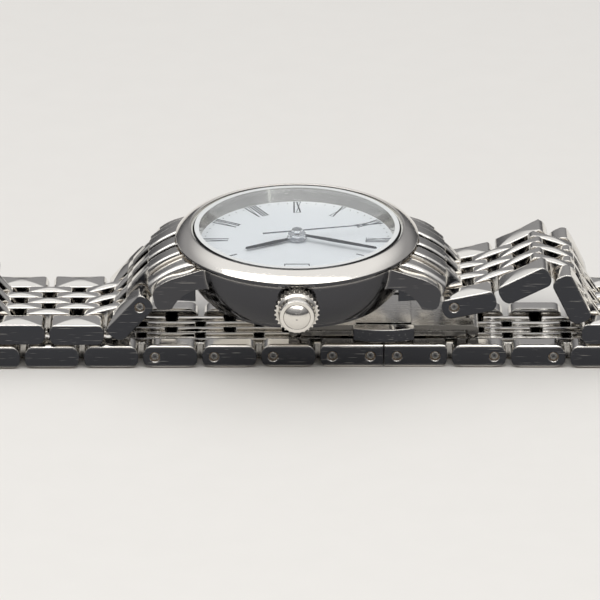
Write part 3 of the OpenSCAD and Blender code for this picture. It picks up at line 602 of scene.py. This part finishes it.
# 316L stainless steel, cut and mirror-polished: near-white reflections, a soft haze from years
# of wear, hairline scratches, and brown skin dirt with painted shade in the seams between the
# links.
# Upright sides are painted near black, a painted reflection of a dim room, and the edge above them
# keeps the bright steel colour.
LINK_STEEL = MetalFinish(
    "polished_316l_steel_links", "EFECE6", "7E6442", (0.05, 0.13),
    dirt_reach_mm=0.5, dirt_share=(0.10, 0.52), side_colour="3F4044", edge_mm=0.22,
)
# The same steel on case, bezel and caseback, turned and buffed: broad, warm, clean reflections
# above a wall painted dark, a painted reflection of a dim room, and dirt with painted shade in the
# seams
CASE_STEEL = MetalFinish(
    "buffed_316l_steel_case", "F2EEE7", "463A2E", (0.05, 0.11), haze_mm=2.4,
    dirt_reach_mm=0.35, dirt_share=(0.12, 0.5), side_colour="4B4B4E", edge_mm=0.1,
)
# The same steel on the crown, bright on its dome, with dirt and painted shade in its flutes
CROWN_STEEL = MetalFinish(
    "fluted_316l_steel_crown", "E6E2DB", "3A3026", (0.10, 0.24), haze_mm=0.5,
    scratch_mm=0.05, dirt_reach_mm=0.3, dirt_share=(0.25, 0.75), edge_mm=0.06,
)
# The same steel, fine-turned and bright, on the ring inside the glass, which is never touched: the
# colour in its seams is painted shade only
RING_STEEL = MetalFinish(
    "turned_316l_steel_ring", "EDEAE4", "8A857C", (0.06, 0.10), grain=Grain.ALONG_X,
    scratch_mm=0.05, scratch_run=40.0, dirt_reach_mm=0.2, dirt_share=(0.05, 0.3),
    edge_mm=0.02,
)
# Stamped stainless strip inside the clasp, rubbed along its length by the closing; its upright
# sides are painted darker, a painted reflection, and its seams get dirt with painted shade
CLASP_STEEL = MetalFinish(
    "stamped_steel_strip_clasp", "DAD7D1", "4A3F33", (0.16, 0.28), grain=Grain.ALONG_X,
    scratch_run=40.0, side_colour="6A6865", edge_mm=0.08,
)
# Hour and minute hands of polished steel: the blades are painted near black, a painted reflection
# of a dim room, their bosses keep the bright steel colour, and their seams get painted shade
HAND_METAL = MetalFinish(
    "polished_steel_hands", "4E5054", "3A3B3E", (0.08, 0.14), scratch_mm=0.04,
    dirt_reach_mm=0.1, dirt_share=(0.02, 0.2), boss_colour="F2F3F5", edge_mm=0.09,
)
# Second hand of thin polished steel: painted mid grey, a painted reflection, with a boss of the
# bright steel colour and painted shade in its seams
SECOND_METAL = MetalFinish(
    "polished_steel_second_hand", "85878B", "3A3B3E", (0.08, 0.14), scratch_mm=0.04,
    dirt_reach_mm=0.1, dirt_share=(0.02, 0.2), boss_colour="F4F5F6", boss_mm=0.6,
    edge_mm=0.08,
)
# Rolled brass of the plate, wheels and winding rotor, gilt and cross-grained, with painted shade
# in its seams
MOVEMENT_BRASS = MetalFinish(
    "gilt_brass_movement", "D9BC7A", "6B5228", (0.22, 0.34), grain=Grain.CROSSED,
    scratch_mm=0.06, scratch_run=30.0, edge_mm=0.02,
)
# Carbon steel and nickel-plated bridges of the movement, striped and oiled, with painted shade in
# their seams
MOVEMENT_STEEL = MetalFinish(
    "nickel_plated_movement", "C9CBCD", "55534F", (0.18, 0.30), grain=Grain.ALONG_X,
    scratch_mm=0.07, scratch_run=30.0, edge_mm=0.02,
)
# Dial of lacquered brass: cool satin white, with the least unevenness of sprayed lacquer
DIAL_LACQUER = CoatFinish(
    "white_lacquer_dial", "FBFCFE", "F6F9FC", 0.38, grain_mm=0.35, bump_mm=0.0015, coat=0.15
)
# A pale opaque band on the edge of the glass: a painted highlight, for the bright reflection in
# its polished chamfer
GLASS_EDGE_HIGHLIGHT = CoatFinish(
    "painted_glass_edge_highlight", "DCDEDD", "E8EAE9", 0.22, grain_mm=0.3, bump_mm=0.001, coat=0.6
)
# Date ring of printed white enamel paint
DATE_PAINT = CoatFinish(
    "white_enamel_date_ring", "F4F3F0", "EEEDEA", 0.45, grain_mm=0.25, bump_mm=0.0015
)
# Pad-printed black ink, a few hundredths thick: soft black that greys where it is thin
DIAL_INK = CoatFinish(
    "pad_printed_ink", "2E3034", "3E4147", 0.42, grain_mm=0.12, bump_mm=0.003
)
# Movement holder of moulded black acetal: slightly waxy
HOLDER_PLASTIC = CoatFinish(
    "moulded_acetal_holder", "1E1E20", "29292B", 0.5, grain_mm=0.3, bump_mm=0.004
)
# Nitrile rubber ring under the caseback: dull black
GASKET_RUBBER = CoatFinish(
    "nitrile_rubber_gasket", "161616", "222120", 0.75, grain_mm=0.15, bump_mm=0.006,
    specular=0.35,
)
# Nylon ring that holds the glass: milky
SEAL_NYLON = CoatFinish(
    "nylon_glass_seal", "C9C9C4", "D8D8D3", 0.4, grain_mm=0.3, bump_mm=0.003
)
# Toughened mineral glass with hairline scratches
CRYSTAL_GLASS = GlassFinish("mineral_glass_crystal", "FCFEFF", 0.0, 1.45)
# Studio floor of matt painted board
FLOOR_BOARD = CoatFinish(
    "matt_painted_board", "DEDCD8", "E1DFDB", 0.8, grain_mm=4.0, bump_mm=0.02, specular=0.2
)


@dataclass
class Workbench:
    """Modelling steps that the sub-assemblies share, each a short run of Blender's operators.

    Attributes:
        bevel_mm: how far a print's top edge is eased.
        bevel_share: the most of a print's height that this may take.
        merge_mm: how near two points are that become one.
    """

    bevel_mm: float = 0.015
    bevel_share: float = 0.6
    merge_mm: float = 0.0001

    def clear(self) -> None:
        """Leaves object mode with nothing selected."""
        if bpy.context.object and bpy.context.object.mode != "OBJECT":
            bpy.ops.object.mode_set(mode="OBJECT")
        bpy.ops.object.select_all(action="DESELECT")

    def bar(self, name: str, length: float, width: float, height: float) -> bpy.types.Object:
        """Models a thin raised bar, long in Y, standing on Z 0, with its edges eased.

        Args:
            name: the piece's name.
            length: along Y, in millimetres.
            width: along X, in millimetres.
            height: up from 0, in millimetres.

        Returns:
            The bar, with its place in its mesh.
        """
        self.clear()
        bpy.ops.mesh.primitive_plane_add(size=MM)
        bar = bpy.context.object
        bar.name = name
        bpy.ops.transform.resize(value=(width, length, 1))
        bpy.ops.object.transform_apply(location=True, rotation=True, scale=True)
        return self.raise_face(bar, height)

    def disc(self, name: str, radius: float, height: float, sides: int) -> bpy.types.Object:
        """Models a small raised dot that stands on Z 0.

        Args:
            name: the piece's name.
            radius: in millimetres.
            height: in millimetres.
            sides: how many straight sides the outline has.

        Returns:
            The dot, with its place in its mesh.
        """
        self.clear()
        bpy.ops.mesh.primitive_circle_add(vertices=sides, radius=radius * MM, fill_type="NGON")
        dot = bpy.context.object
        dot.name = name
        return self.raise_face(dot, height)

    def ring(self, name: str, radii: Pair, height: float, sides: int) -> bpy.types.Object:
        """Models a thin flat ring that stands on Z 0, with its edges eased.

        Args:
            name: the piece's name.
            radii: the inner and the outer radius, in millimetres.
            height: in millimetres.
            sides: how many straight sides the circles have.

        Returns:
            The ring, with its place in its mesh.
        """
        self.clear()
        inner, outer = radii
        bpy.ops.mesh.primitive_circle_add(
            vertices=sides, radius=outer * MM, fill_type="NOTHING"
        )
        ring = bpy.context.object
        ring.name = name
        bpy.ops.object.mode_set(mode="EDIT")
        bpy.ops.mesh.select_mode(type="EDGE")
        bpy.ops.mesh.select_all(action="SELECT")
        bpy.ops.mesh.extrude_region_move()
        bpy.ops.transform.resize(value=(inner / outer, inner / outer, 1))
        bpy.ops.object.mode_set(mode="OBJECT")
        return self.raise_face(ring, height)

    def raise_face(self, piece: bpy.types.Object, height: float) -> bpy.types.Object:
        """Extrudes a flat piece upwards and eases its edges.

        Args:
            piece: a flat mesh at Z 0, active and alone in the selection.
            height: in millimetres.

        Returns:
            The same piece.
        """
        bpy.ops.object.mode_set(mode="EDIT")
        bpy.ops.mesh.select_mode(type="FACE")
        bpy.ops.mesh.select_all(action="SELECT")
        bpy.ops.mesh.extrude_region_move(
            TRANSFORM_OT_translate={"value": (0, 0, height * MM)}
        )
        bpy.ops.mesh.bevel(
            offset=min(self.bevel_mm, height * self.bevel_share) * MM, segments=1,
            affect="EDGES",
        )
        bpy.ops.mesh.select_all(action="SELECT")
        bpy.ops.mesh.remove_doubles(threshold=self.merge_mm * MM)
        bpy.ops.mesh.normals_make_consistent(inside=False)
        bpy.ops.object.mode_set(mode="OBJECT")
        return piece

    def copy_at(self, piece: bpy.types.Object, place: Matrix) -> bpy.types.Object:
        """Copies a piece, with a mesh of its own, to a place.

        Args:
            piece: what is copied.
            place: where its own centre goes, in metres.

        Returns:
            The copy, whose object stays at the origin.
        """
        copy = piece.copy()
        copy.data = piece.data.copy()
        copy.data.transform(place)
        bpy.context.scene.collection.objects.link(copy)
        return copy

    def join(self, pieces: list[bpy.types.Object], name: str) -> bpy.types.Object:
        """Joins pieces to one object.

        Args:
            pieces: at least one mesh object.
            name: the joined piece's name.

        Returns:
            The joined object.
        """
        self.clear()
        for piece in pieces:
            piece.select_set(True)
        bpy.context.view_layer.objects.active = pieces[0]
        if len(pieces) > 1:
            bpy.ops.object.join()
        joined = bpy.context.object
        joined.name = name
        joined.data.name = name
        return joined

    def drop(self, piece: bpy.types.Object) -> None:
        """Removes a pattern piece that was only copied from."""
        bpy.data.objects.remove(piece, do_unlink=True)

    def dress(
        self, piece: bpy.types.Object, material: bpy.types.Material, body: str, slot: Slot
    ) -> None:
        """Gives a new piece its finish and its body.

        Args:
            piece: the finished piece.
            material: its finish.
            body: the CAD body that it moves with.
            slot: the record's material slot; not used.
        """
        piece.data.materials.clear()
        piece.data.materials.append(material)
        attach(piece, body)
        LOG.info("%s rides on %s", piece.name, body)


@dataclass
class NodeDresser:
    """Gives the CAD nodes their finishes.

    Attributes:
        nodes: the CAD nodes by name.
        dressed: the names of those that have their finish.
    """

    nodes: dict[str, bpy.types.Object]
    dressed: set[str] = field(default_factory=set)

    def give(self, finish: Finish, names: list[str]) -> None:
        """Puts one finish on some nodes.

        Args:
            finish: the finish to build.
            names: the CAD nodes.
        """
        material = finish.build()
        for name in names:
            for slot in self.nodes[name].material_slots:
                slot.material = material
            self.dressed.add(name)
        LOG.info("%s on %d nodes", finish.name, len(names))

    def missing(self) -> list[str]:
        """Names the CAD nodes that still have no finish."""
        return sorted(set(self.nodes) - self.dressed)


@dataclass
class DialPrint:
    """The printed dial: narrow Roman numerals, minute dots and the frame of the date window.

    Attributes:
        bench: where the pieces are modelled.
        dial_top: the height of the dial's face, in metres.
        inner_r: from the dial's centre to the numerals' feet.
        outer_r: from the dial's centre to their heads.
        thick: the width of a broad stroke.
        thin: the width of a hairline stroke.
        v_width: the width of a V.
        x_width: the width of an X.
        letter_gap: between two letters.
        serif_reach: how far a serif stands out beside its letter.
        serif_w: the width of a serif's line.
        print_h: how high the print stands on the dial.
        dot_r: from the dial's centre to a minute dot.
        dot_d: a minute dot's diameter.
        dot_sides: the straight sides of its outline.
        date_r: from the dial's centre to the middle of the date window.
        date_frame: the frame round the window, along X and along Y.
        frame_w: the width of the frame's line.
        frame_h: how high the frame stands on the dial.
        numerals: what is printed at each hour, from 12 o'clock on. The window takes 3 o'clock.
    """

    bench: Workbench
    dial_top: float
    inner_r: float = 7.26
    outer_r: float = 9.98
    thick: float = 0.16
    thin: float = 0.07
    v_width: float = 0.52
    x_width: float = 0.5
    letter_gap: float = 0.13
    serif_reach: float = 0.05
    serif_w: float = 0.056
    print_h: float = 0.02
    dot_r: float = 9.65
    dot_d: float = 0.14
    dot_sides: int = 12
    date_r: float = 7.43
    date_frame: Pair = (2.55, 2.45)
    frame_w: float = 0.09
    frame_h: float = 0.05
    numerals: tuple[str, ...] = (
        "XII", "I", "II", "", "IIII", "V", "VI", "VII", "VIII", "IX", "X", "XI",
    )

    def letter_width(self, letter: str) -> float:
        """Gives a letter's width in millimetres."""
        return {"I": self.thick, "V": self.v_width, "X": self.x_width}[letter]

    def strokes(self, letter: str, x: float) -> list[Stroke]:
        """Lists a letter's strokes, with its foot at the inner radius.

        Args:
            letter: I, V or X.
            x: the letter's left side, in millimetres.

        Returns:
            For each stroke its two ends, as x and y, and its width.
        """
        width, height = self.letter_width(letter), self.outer_r - self.inner_r
        left, right = x + self.thick / 2, x + width - self.thin / 2
        if letter == "I":
            return [(left, 0, left, height, self.thick)]
        if letter == "V":
            foot = x + width / 2
            return [
                (left, height, foot, 0, self.thick),
                (right, height, foot, 0, self.thin),
            ]
        return [
            (left, height, right, 0, self.thick),
            (right, height, x + self.thin / 2, 0, self.thin),
        ]

    def serifs(self, letter: str, x: float) -> list[Stroke]:
        """Lists the serifs across a letter's head and foot. A V has none at its foot.

        Args:
            letter: I, V or X.
            x: the letter's left side, in millimetres.

        Returns:
            The serifs, as strokes.
        """
        low, high = x - self.serif_reach, x + self.letter_width(letter) + self.serif_reach
        ends = [self.outer_r - self.inner_r] + ([] if letter == "V" else [0])
        return [(low, y, high, y, self.serif_w) for y in ends]

    def lettering(self, text: str) -> list[Stroke]:
        """Lists a numeral's strokes, centred across.

        Args:
            text: the numeral's letters.

        Returns:
            The letters' strokes, and then their serifs.
        """
        total = sum(self.letter_width(c) for c in text) + self.letter_gap * (len(text) - 1)
        x, strokes, serifs = -total / 2, [], []
        for letter in text:
            strokes += self.strokes(letter, x)
            serifs += self.serifs(letter, x)
            x += self.letter_width(letter) + self.letter_gap
        return strokes + serifs

    def numeral(self, hour: int, ink: bpy.types.Material) -> None:
        """Models one numeral, read from the dial's centre outwards.

        Args:
            hour: 0 for 12 o'clock, clockwise.
            ink: the print's finish.
        """
        hour_turn = -360 // HOURS * hour
        turn = Matrix.Rotation(math.radians(hour_turn) - math.pi / 2, 4, "Z")
        lift = Matrix.Translation((0, self.inner_r * MM, self.dial_top))
        made = []
        for x0, y0, x1, y1, width in self.lettering(self.numerals[hour]):
            run = math.hypot(x1 - x0, y1 - y0) + (width if x0 == x1 else 0)
            bar = self.bench.bar("stroke", run, width, self.print_h)
            middle = Matrix.Translation(((x0 + x1) / 2 * MM, (y0 + y1) / 2 * MM, 0))
            lean = Matrix.Rotation(math.atan2(y1 - y0, x1 - x0) - math.pi / 2, 4, "Z")
            made.append(self.bench.copy_at(bar, turn @ lift @ (middle @ lean)))
            self.bench.drop(bar)
        numeral = self.bench.join(made, f"numeral_{hour or HOURS}")
        self.bench.dress(numeral, ink, "head", Slot.DIAL)

    def minute_dots(self, ink: bpy.types.Material) -> None:
        """Models one dot and copies it to each minute between the hours.

        Args:
            ink: the print's finish.
        """
        dot = self.bench.disc("dot", self.dot_d / 2, self.print_h, self.dot_sides)
        out = Matrix.Translation((self.dot_r * MM, 0, self.dial_top))
        made = []
        for minute in range(MINUTES):
            if minute % MINUTES_PER_HOUR_MARK:
                turn = Matrix.Rotation(math.radians(-360 // MINUTES * minute), 4, "Z")
                made.append(self.bench.copy_at(dot, turn @ out))
        self.bench.drop(dot)
        self.bench.dress(self.bench.join(made, "minute_dots"), ink, "head", Slot.DIAL)

    def date_window(self, ink: bpy.types.Material) -> None:
        """Models the fine frame round the date window at 3 o'clock.

        Args:
            ink: the print's finish.
        """
        wide, deep = self.date_frame
        across = Matrix.Rotation(math.pi / 2, 4, "Z")
        along = Matrix.Identity(4)
        made = []
        for x, y, length, turn in (
            (0, deep / 2, wide, across),
            (0, -deep / 2, wide, across),
            (wide / 2, 0, deep, along),
            (-wide / 2, 0, deep, along),
        ):
            bar = self.bench.bar("side", length + self.frame_w, self.frame_w, self.frame_h)
            out = Matrix.Translation((x * MM, (y - self.date_r) * MM, self.dial_top))
            made.append(self.bench.copy_at(bar, out @ turn))
            self.bench.drop(bar)
        self.bench.dress(self.bench.join(made, "date_frame"), ink, "head", Slot.DIAL)

    def build(self, ink: bpy.types.Material) -> None:
        """Models the whole print in one ink.

        Args:
            ink: the print's finish.
        """
        for hour, text in enumerate(self.numerals):
            if text:
                self.numeral(hour, ink)
        self.minute_dots(ink)
        self.date_window(ink)


@dataclass
class DateNumbers:
    """The numbers 1 to 31 on the date ring, each upright in the window in its turn.

    Attributes:
        bench: where the pieces are modelled.
        ring_top: the height of the ring's face, in metres.
        centre_r: from the ring's centre to the middle of a number.
        height: of a figure.
        type_size: Blender's text size for a figure of height 1.
        print_h: half of the print's thickness.
        narrow: a figure's width beside the font's own.
        curve_steps: the straight pieces of a letter's curve.
        days: how many numbers the ring has.
        shown_day: the number in the window at rest.
        window_turn: where the window is, in degrees from 12 o'clock.
    """

    bench: Workbench
    ring_top: float
    centre_r: float = 7.62
    height: float = 1.15
    type_size: float = 1.35
    print_h: float = 0.006
    narrow: float = 0.78
    curve_steps: int = 3
    days: int = 31
    shown_day: int = 17
    window_turn: float = -90.0

    def number(self, day: int) -> bpy.types.Object:
        """Models one number in its place on the ring.

        Args:
            day: from 1 to 31.

        Returns:
            The number as a mesh.
        """
        self.bench.clear()
        bpy.ops.object.text_add()
        words = bpy.context.object.data
        words.body = str(day)
        words.align_x, words.align_y = "CENTER", "CENTER"
        words.size = self.height * self.type_size * MM
        words.extrude = self.print_h * MM
        words.resolution_u = self.curve_steps
        bpy.ops.object.convert(target="MESH")
        number = bpy.context.object
        step = (day - self.shown_day) * 360 / self.days
        turn = Matrix.Rotation(math.radians(self.window_turn + step), 4, "Z")
        out = Matrix.Translation((self.centre_r * MM, 0, self.ring_top + self.print_h * MM))
        upright = Matrix.Rotation(math.pi / 2, 4, "Z")
        number.data.transform(turn @ out @ upright @ Matrix.Diagonal((self.narrow, 1, 1, 1)))
        return number

    def build(self, ink: bpy.types.Material) -> None:
        """Models the numbers as one print that turns with the date ring.

        Args:
            ink: the print's finish.
        """
        made = [self.number(day) for day in range(1, self.days + 1)]
        self.bench.dress(self.bench.join(made, "date_numbers"), ink, "date_ring", Slot.DATE)


@dataclass
class GlassEdge:
    """A pale band round the top of the crystal, just inside its chamfer: a painted highlight that
    stands for the reflection in the polished edge.

    Attributes:
        bench: where the piece is modelled.
        chamfer: the width of the crystal's own chamfer.
        width: of the band.
        thick: how high the band stands on the glass.
        sides: the straight sides of its circles.
    """

    bench: Workbench
    chamfer: float = 0.18
    width: float = 0.5
    thick: float = 0.02
    sides: int = 128

    def build(self, box: tuple[Vector, Vector], material: bpy.types.Material) -> None:
        """Models the band on the crystal's top face.

        Args:
            box: the crystal's lowest and highest corners, in metres.
            material: the band's finish.
        """
        low, high = box
        outer = (high.x - low.x) / 2 / MM - self.chamfer
        radii = (outer - self.width, outer)
        band = self.bench.ring("crystal_edge_highlight_band", radii, self.thick, self.sides)
        band.data.transform(Matrix.Translation((0, 0, high.z)))
        self.bench.dress(band, material, "head", Slot.CRYSTAL)


@dataclass
class Watch:
    """The whole watch: which finish each CAD node has, and the pieces that are added.

    Attributes:
        bench: where the added pieces are modelled.
    """

    frame: dict[str, Any]
    bench: Workbench = field(default_factory=Workbench)

    def names(self, start: str) -> list[str]:
        """Lists the CAD nodes whose names start alike."""
        return [name for name in self.frame["nodes"] if name.startswith(start)]

    def finishes(self) -> list[tuple[Finish, list[str]]]:
        """Lists the finishes of the CAD nodes.

        Returns:
            Each finish, with the names of the nodes that have it.
        """
        links = self.names("link_") + self.names("clasp_end") + self.names("push_")
        wheels = ["mainspring_barrel", "center_wheel", "third_wheel", "fourth_wheel"]
        works = ["train_bridge", "balance_cock", "escape_wheel", "pallet_fork", "minute_wheel"]
        return [
            (CASE_STEEL, ["mid_case", "bezel", "caseback"]),
            (CROWN_STEEL, ["crown"]),
            (RING_STEEL, ["flange_ring"]),
            (LINK_STEEL, ["end_links"] + links),
            (CLASP_STEEL, self.names("clasp_arm") + ["clasp_plate"]),
            (HAND_METAL, ["hour_hand", "minute_hand"]),
            (SECOND_METAL, ["second_hand"]),
            (MOVEMENT_BRASS, ["main_plate", "balance_wheel", "rotor"] + wheels),
            (MOVEMENT_STEEL, works + ["winding_stem", "crown_tube", "spring_bars"]),
            (DIAL_LACQUER, ["dial"]),
            (DATE_PAINT, ["date_ring"]),
            (HOLDER_PLASTIC, ["movement_ring"]),
            (GASKET_RUBBER, ["caseback_gasket"]),
            (SEAL_NYLON, ["crystal_gasket"]),
            (CRYSTAL_GLASS, ["crystal"]),
        ]

    def build(self) -> None:
        """Dresses every node and adds the prints and the painted highlight band on the glass."""
        dresser = NodeDresser(self.frame["nodes"])
        for finish, names in self.finishes():
            dresser.give(finish, names)
        if dresser.missing():
            LOG.warning("no finish on %s", dresser.missing())
        ink = DIAL_INK.build()
        DialPrint(self.bench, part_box("dial")[1].z).build(ink)
        DateNumbers(self.bench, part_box("date_ring")[1].z).build(ink)
        GlassEdge(self.bench).build(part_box("crystal"), GLASS_EDGE_HIGHLIGHT.build())


@dataclass
class Studio:
    """Pale floor, soft light and the camera at the photograph's view, none of it the watch.

    Attributes:
        floor_z: the height of the floor that the watch lies on.
        floor_r_m: the floor's radius, in metres.
        floor_sides: the straight sides of its outline.
        target: the point that the camera looks at.
        distance: from the camera to that point.
        elevation: of the camera above the horizon, in degrees.
        lens: the camera's focal length, which makes 5688 px on a picture of 600 px.
        sensor: the width of its sensor.
        clip_m: the nearest and the farthest thing that it sees, in metres.
        lamp_size_m: the soft box's sides, in metres.
        lamp_place_m: the middle of the soft box, in metres.
        lamp_watts: its power.
        lamp_colour: its light, a little warm, as linear red, green and blue.
        room: the room's light: how high a direction points, from 0 at the horizon to 1 straight
            up, and the linear colour that comes from there.
    """

    floor_z: float = -6.14
    floor_r_m: float = 2.5
    floor_sides: int = 96
    target: tuple[float, float, float] = (0.316, 0.0, -0.833)
    distance: float = 600.0
    elevation: float = 24.5
    lens: float = 341.3
    sensor: float = 36.0
    clip_m: Pair = (0.02, 20.0)
    lamp_size_m: Pair = (0.95, 0.4)
    lamp_place_m: tuple[float, float, float] = (-0.06, -0.22, 0.46)
    lamp_watts: float = 2.2
    lamp_colour: tuple[float, float, float] = (1.0, 0.985, 0.96)
    room: tuple[tuple[float, Colour], ...] = (
        (0.0, (0.07, 0.07, 0.075, 1)),
        (0.40, (0.30, 0.30, 0.31, 1)),
        (0.80, (0.88, 0.88, 0.89, 1)),
    )

    def camera(self) -> None:
        """Makes the camera."""
        data = bpy.data.cameras.new("photo_view")
        data.lens = self.lens
        data.sensor_width = self.sensor
        data.clip_start, data.clip_end = self.clip_m
        camera = bpy.data.objects.new("photo_view", data)
        rise = math.radians(self.elevation)
        back = Vector((0.0, -math.cos(rise), math.sin(rise)))
        camera.location = (Vector(self.target) + back * self.distance) * MM
        camera.rotation_euler = (-back).to_track_quat("-Z", "Y").to_euler()
        bpy.context.scene.collection.objects.link(camera)
        bpy.context.scene.camera = camera

    def floor(self) -> None:
        """Lays a round painted board under the watch."""
        bpy.ops.object.select_all(action="DESELECT")
        bpy.ops.mesh.primitive_circle_add(
            vertices=self.floor_sides, radius=self.floor_r_m, fill_type="NGON",
            location=(0, 0, self.floor_z * MM),
        )
        board = bpy.context.object
        board.name = "studio_floor"
        board.data.materials.append(FLOOR_BOARD.build())

    def lamp(self) -> None:
        """Sets one broad soft box above and in front of the watch, turned towards it."""
        data = bpy.data.lights.new("soft_box", "AREA")
        data.shape = "RECTANGLE"
        data.size, data.size_y = self.lamp_size_m
        data.energy = self.lamp_watts
        data.color = self.lamp_colour
        lamp = bpy.data.objects.new("soft_box", data)
        lamp.location = self.lamp_place_m
        lamp.rotation_euler = (-lamp.location).to_track_quat("-Z", "Y").to_euler()
        bpy.context.scene.collection.objects.link(lamp)

    def walls(self) -> None:
        """Makes the room's light, with a bright ceiling that darkens towards the walls."""
        world = bpy.data.worlds.new("pale_room")
        bpy.context.scene.world = world
        world.use_nodes = True
        tree = world.node_tree
        tree.nodes.clear()
        view = add_node(tree, "ShaderNodeTexCoord").outputs["Generated"]
        height = add_node(tree, "ShaderNodeSeparateXYZ", {0: view}).outputs["Z"]
        ramp = add_node(tree, "ShaderNodeValToRGB", {0: height})
        stops = ramp.color_ramp
        stops.interpolation = "EASE"
        (low, low_light), (middle, middle_light), (high, high_light) = self.room
        stops.elements[0].position, stops.elements[0].color = low, low_light
        stops.elements[1].position, stops.elements[1].color = high, high_light
        stops.elements.new(middle).color = middle_light
        back = add_node(
            tree, "ShaderNodeBackground", {"Color": ramp.outputs[0], "Strength": 1.0}
        )
        add_node(tree, "ShaderNodeOutputWorld", {"Surface": back.outputs[0]})

    def build(self) -> None:
        """Sets up the whole stage."""
        bpy.context.scene.view_settings.view_transform = "Standard"
        self.camera()
        self.floor()
        self.lamp()
        self.walls()


def main() -> None:
    """Loads the frame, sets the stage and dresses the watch."""
    logging.basicConfig(level=logging.INFO, format="%(name)s: %(message)s")
    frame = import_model()
    bpy.context.view_layer.update()
    Studio().build()
    Watch(frame).build()
    bpy.context.view_layer.update()


if __name__ == "__main__":
    main()
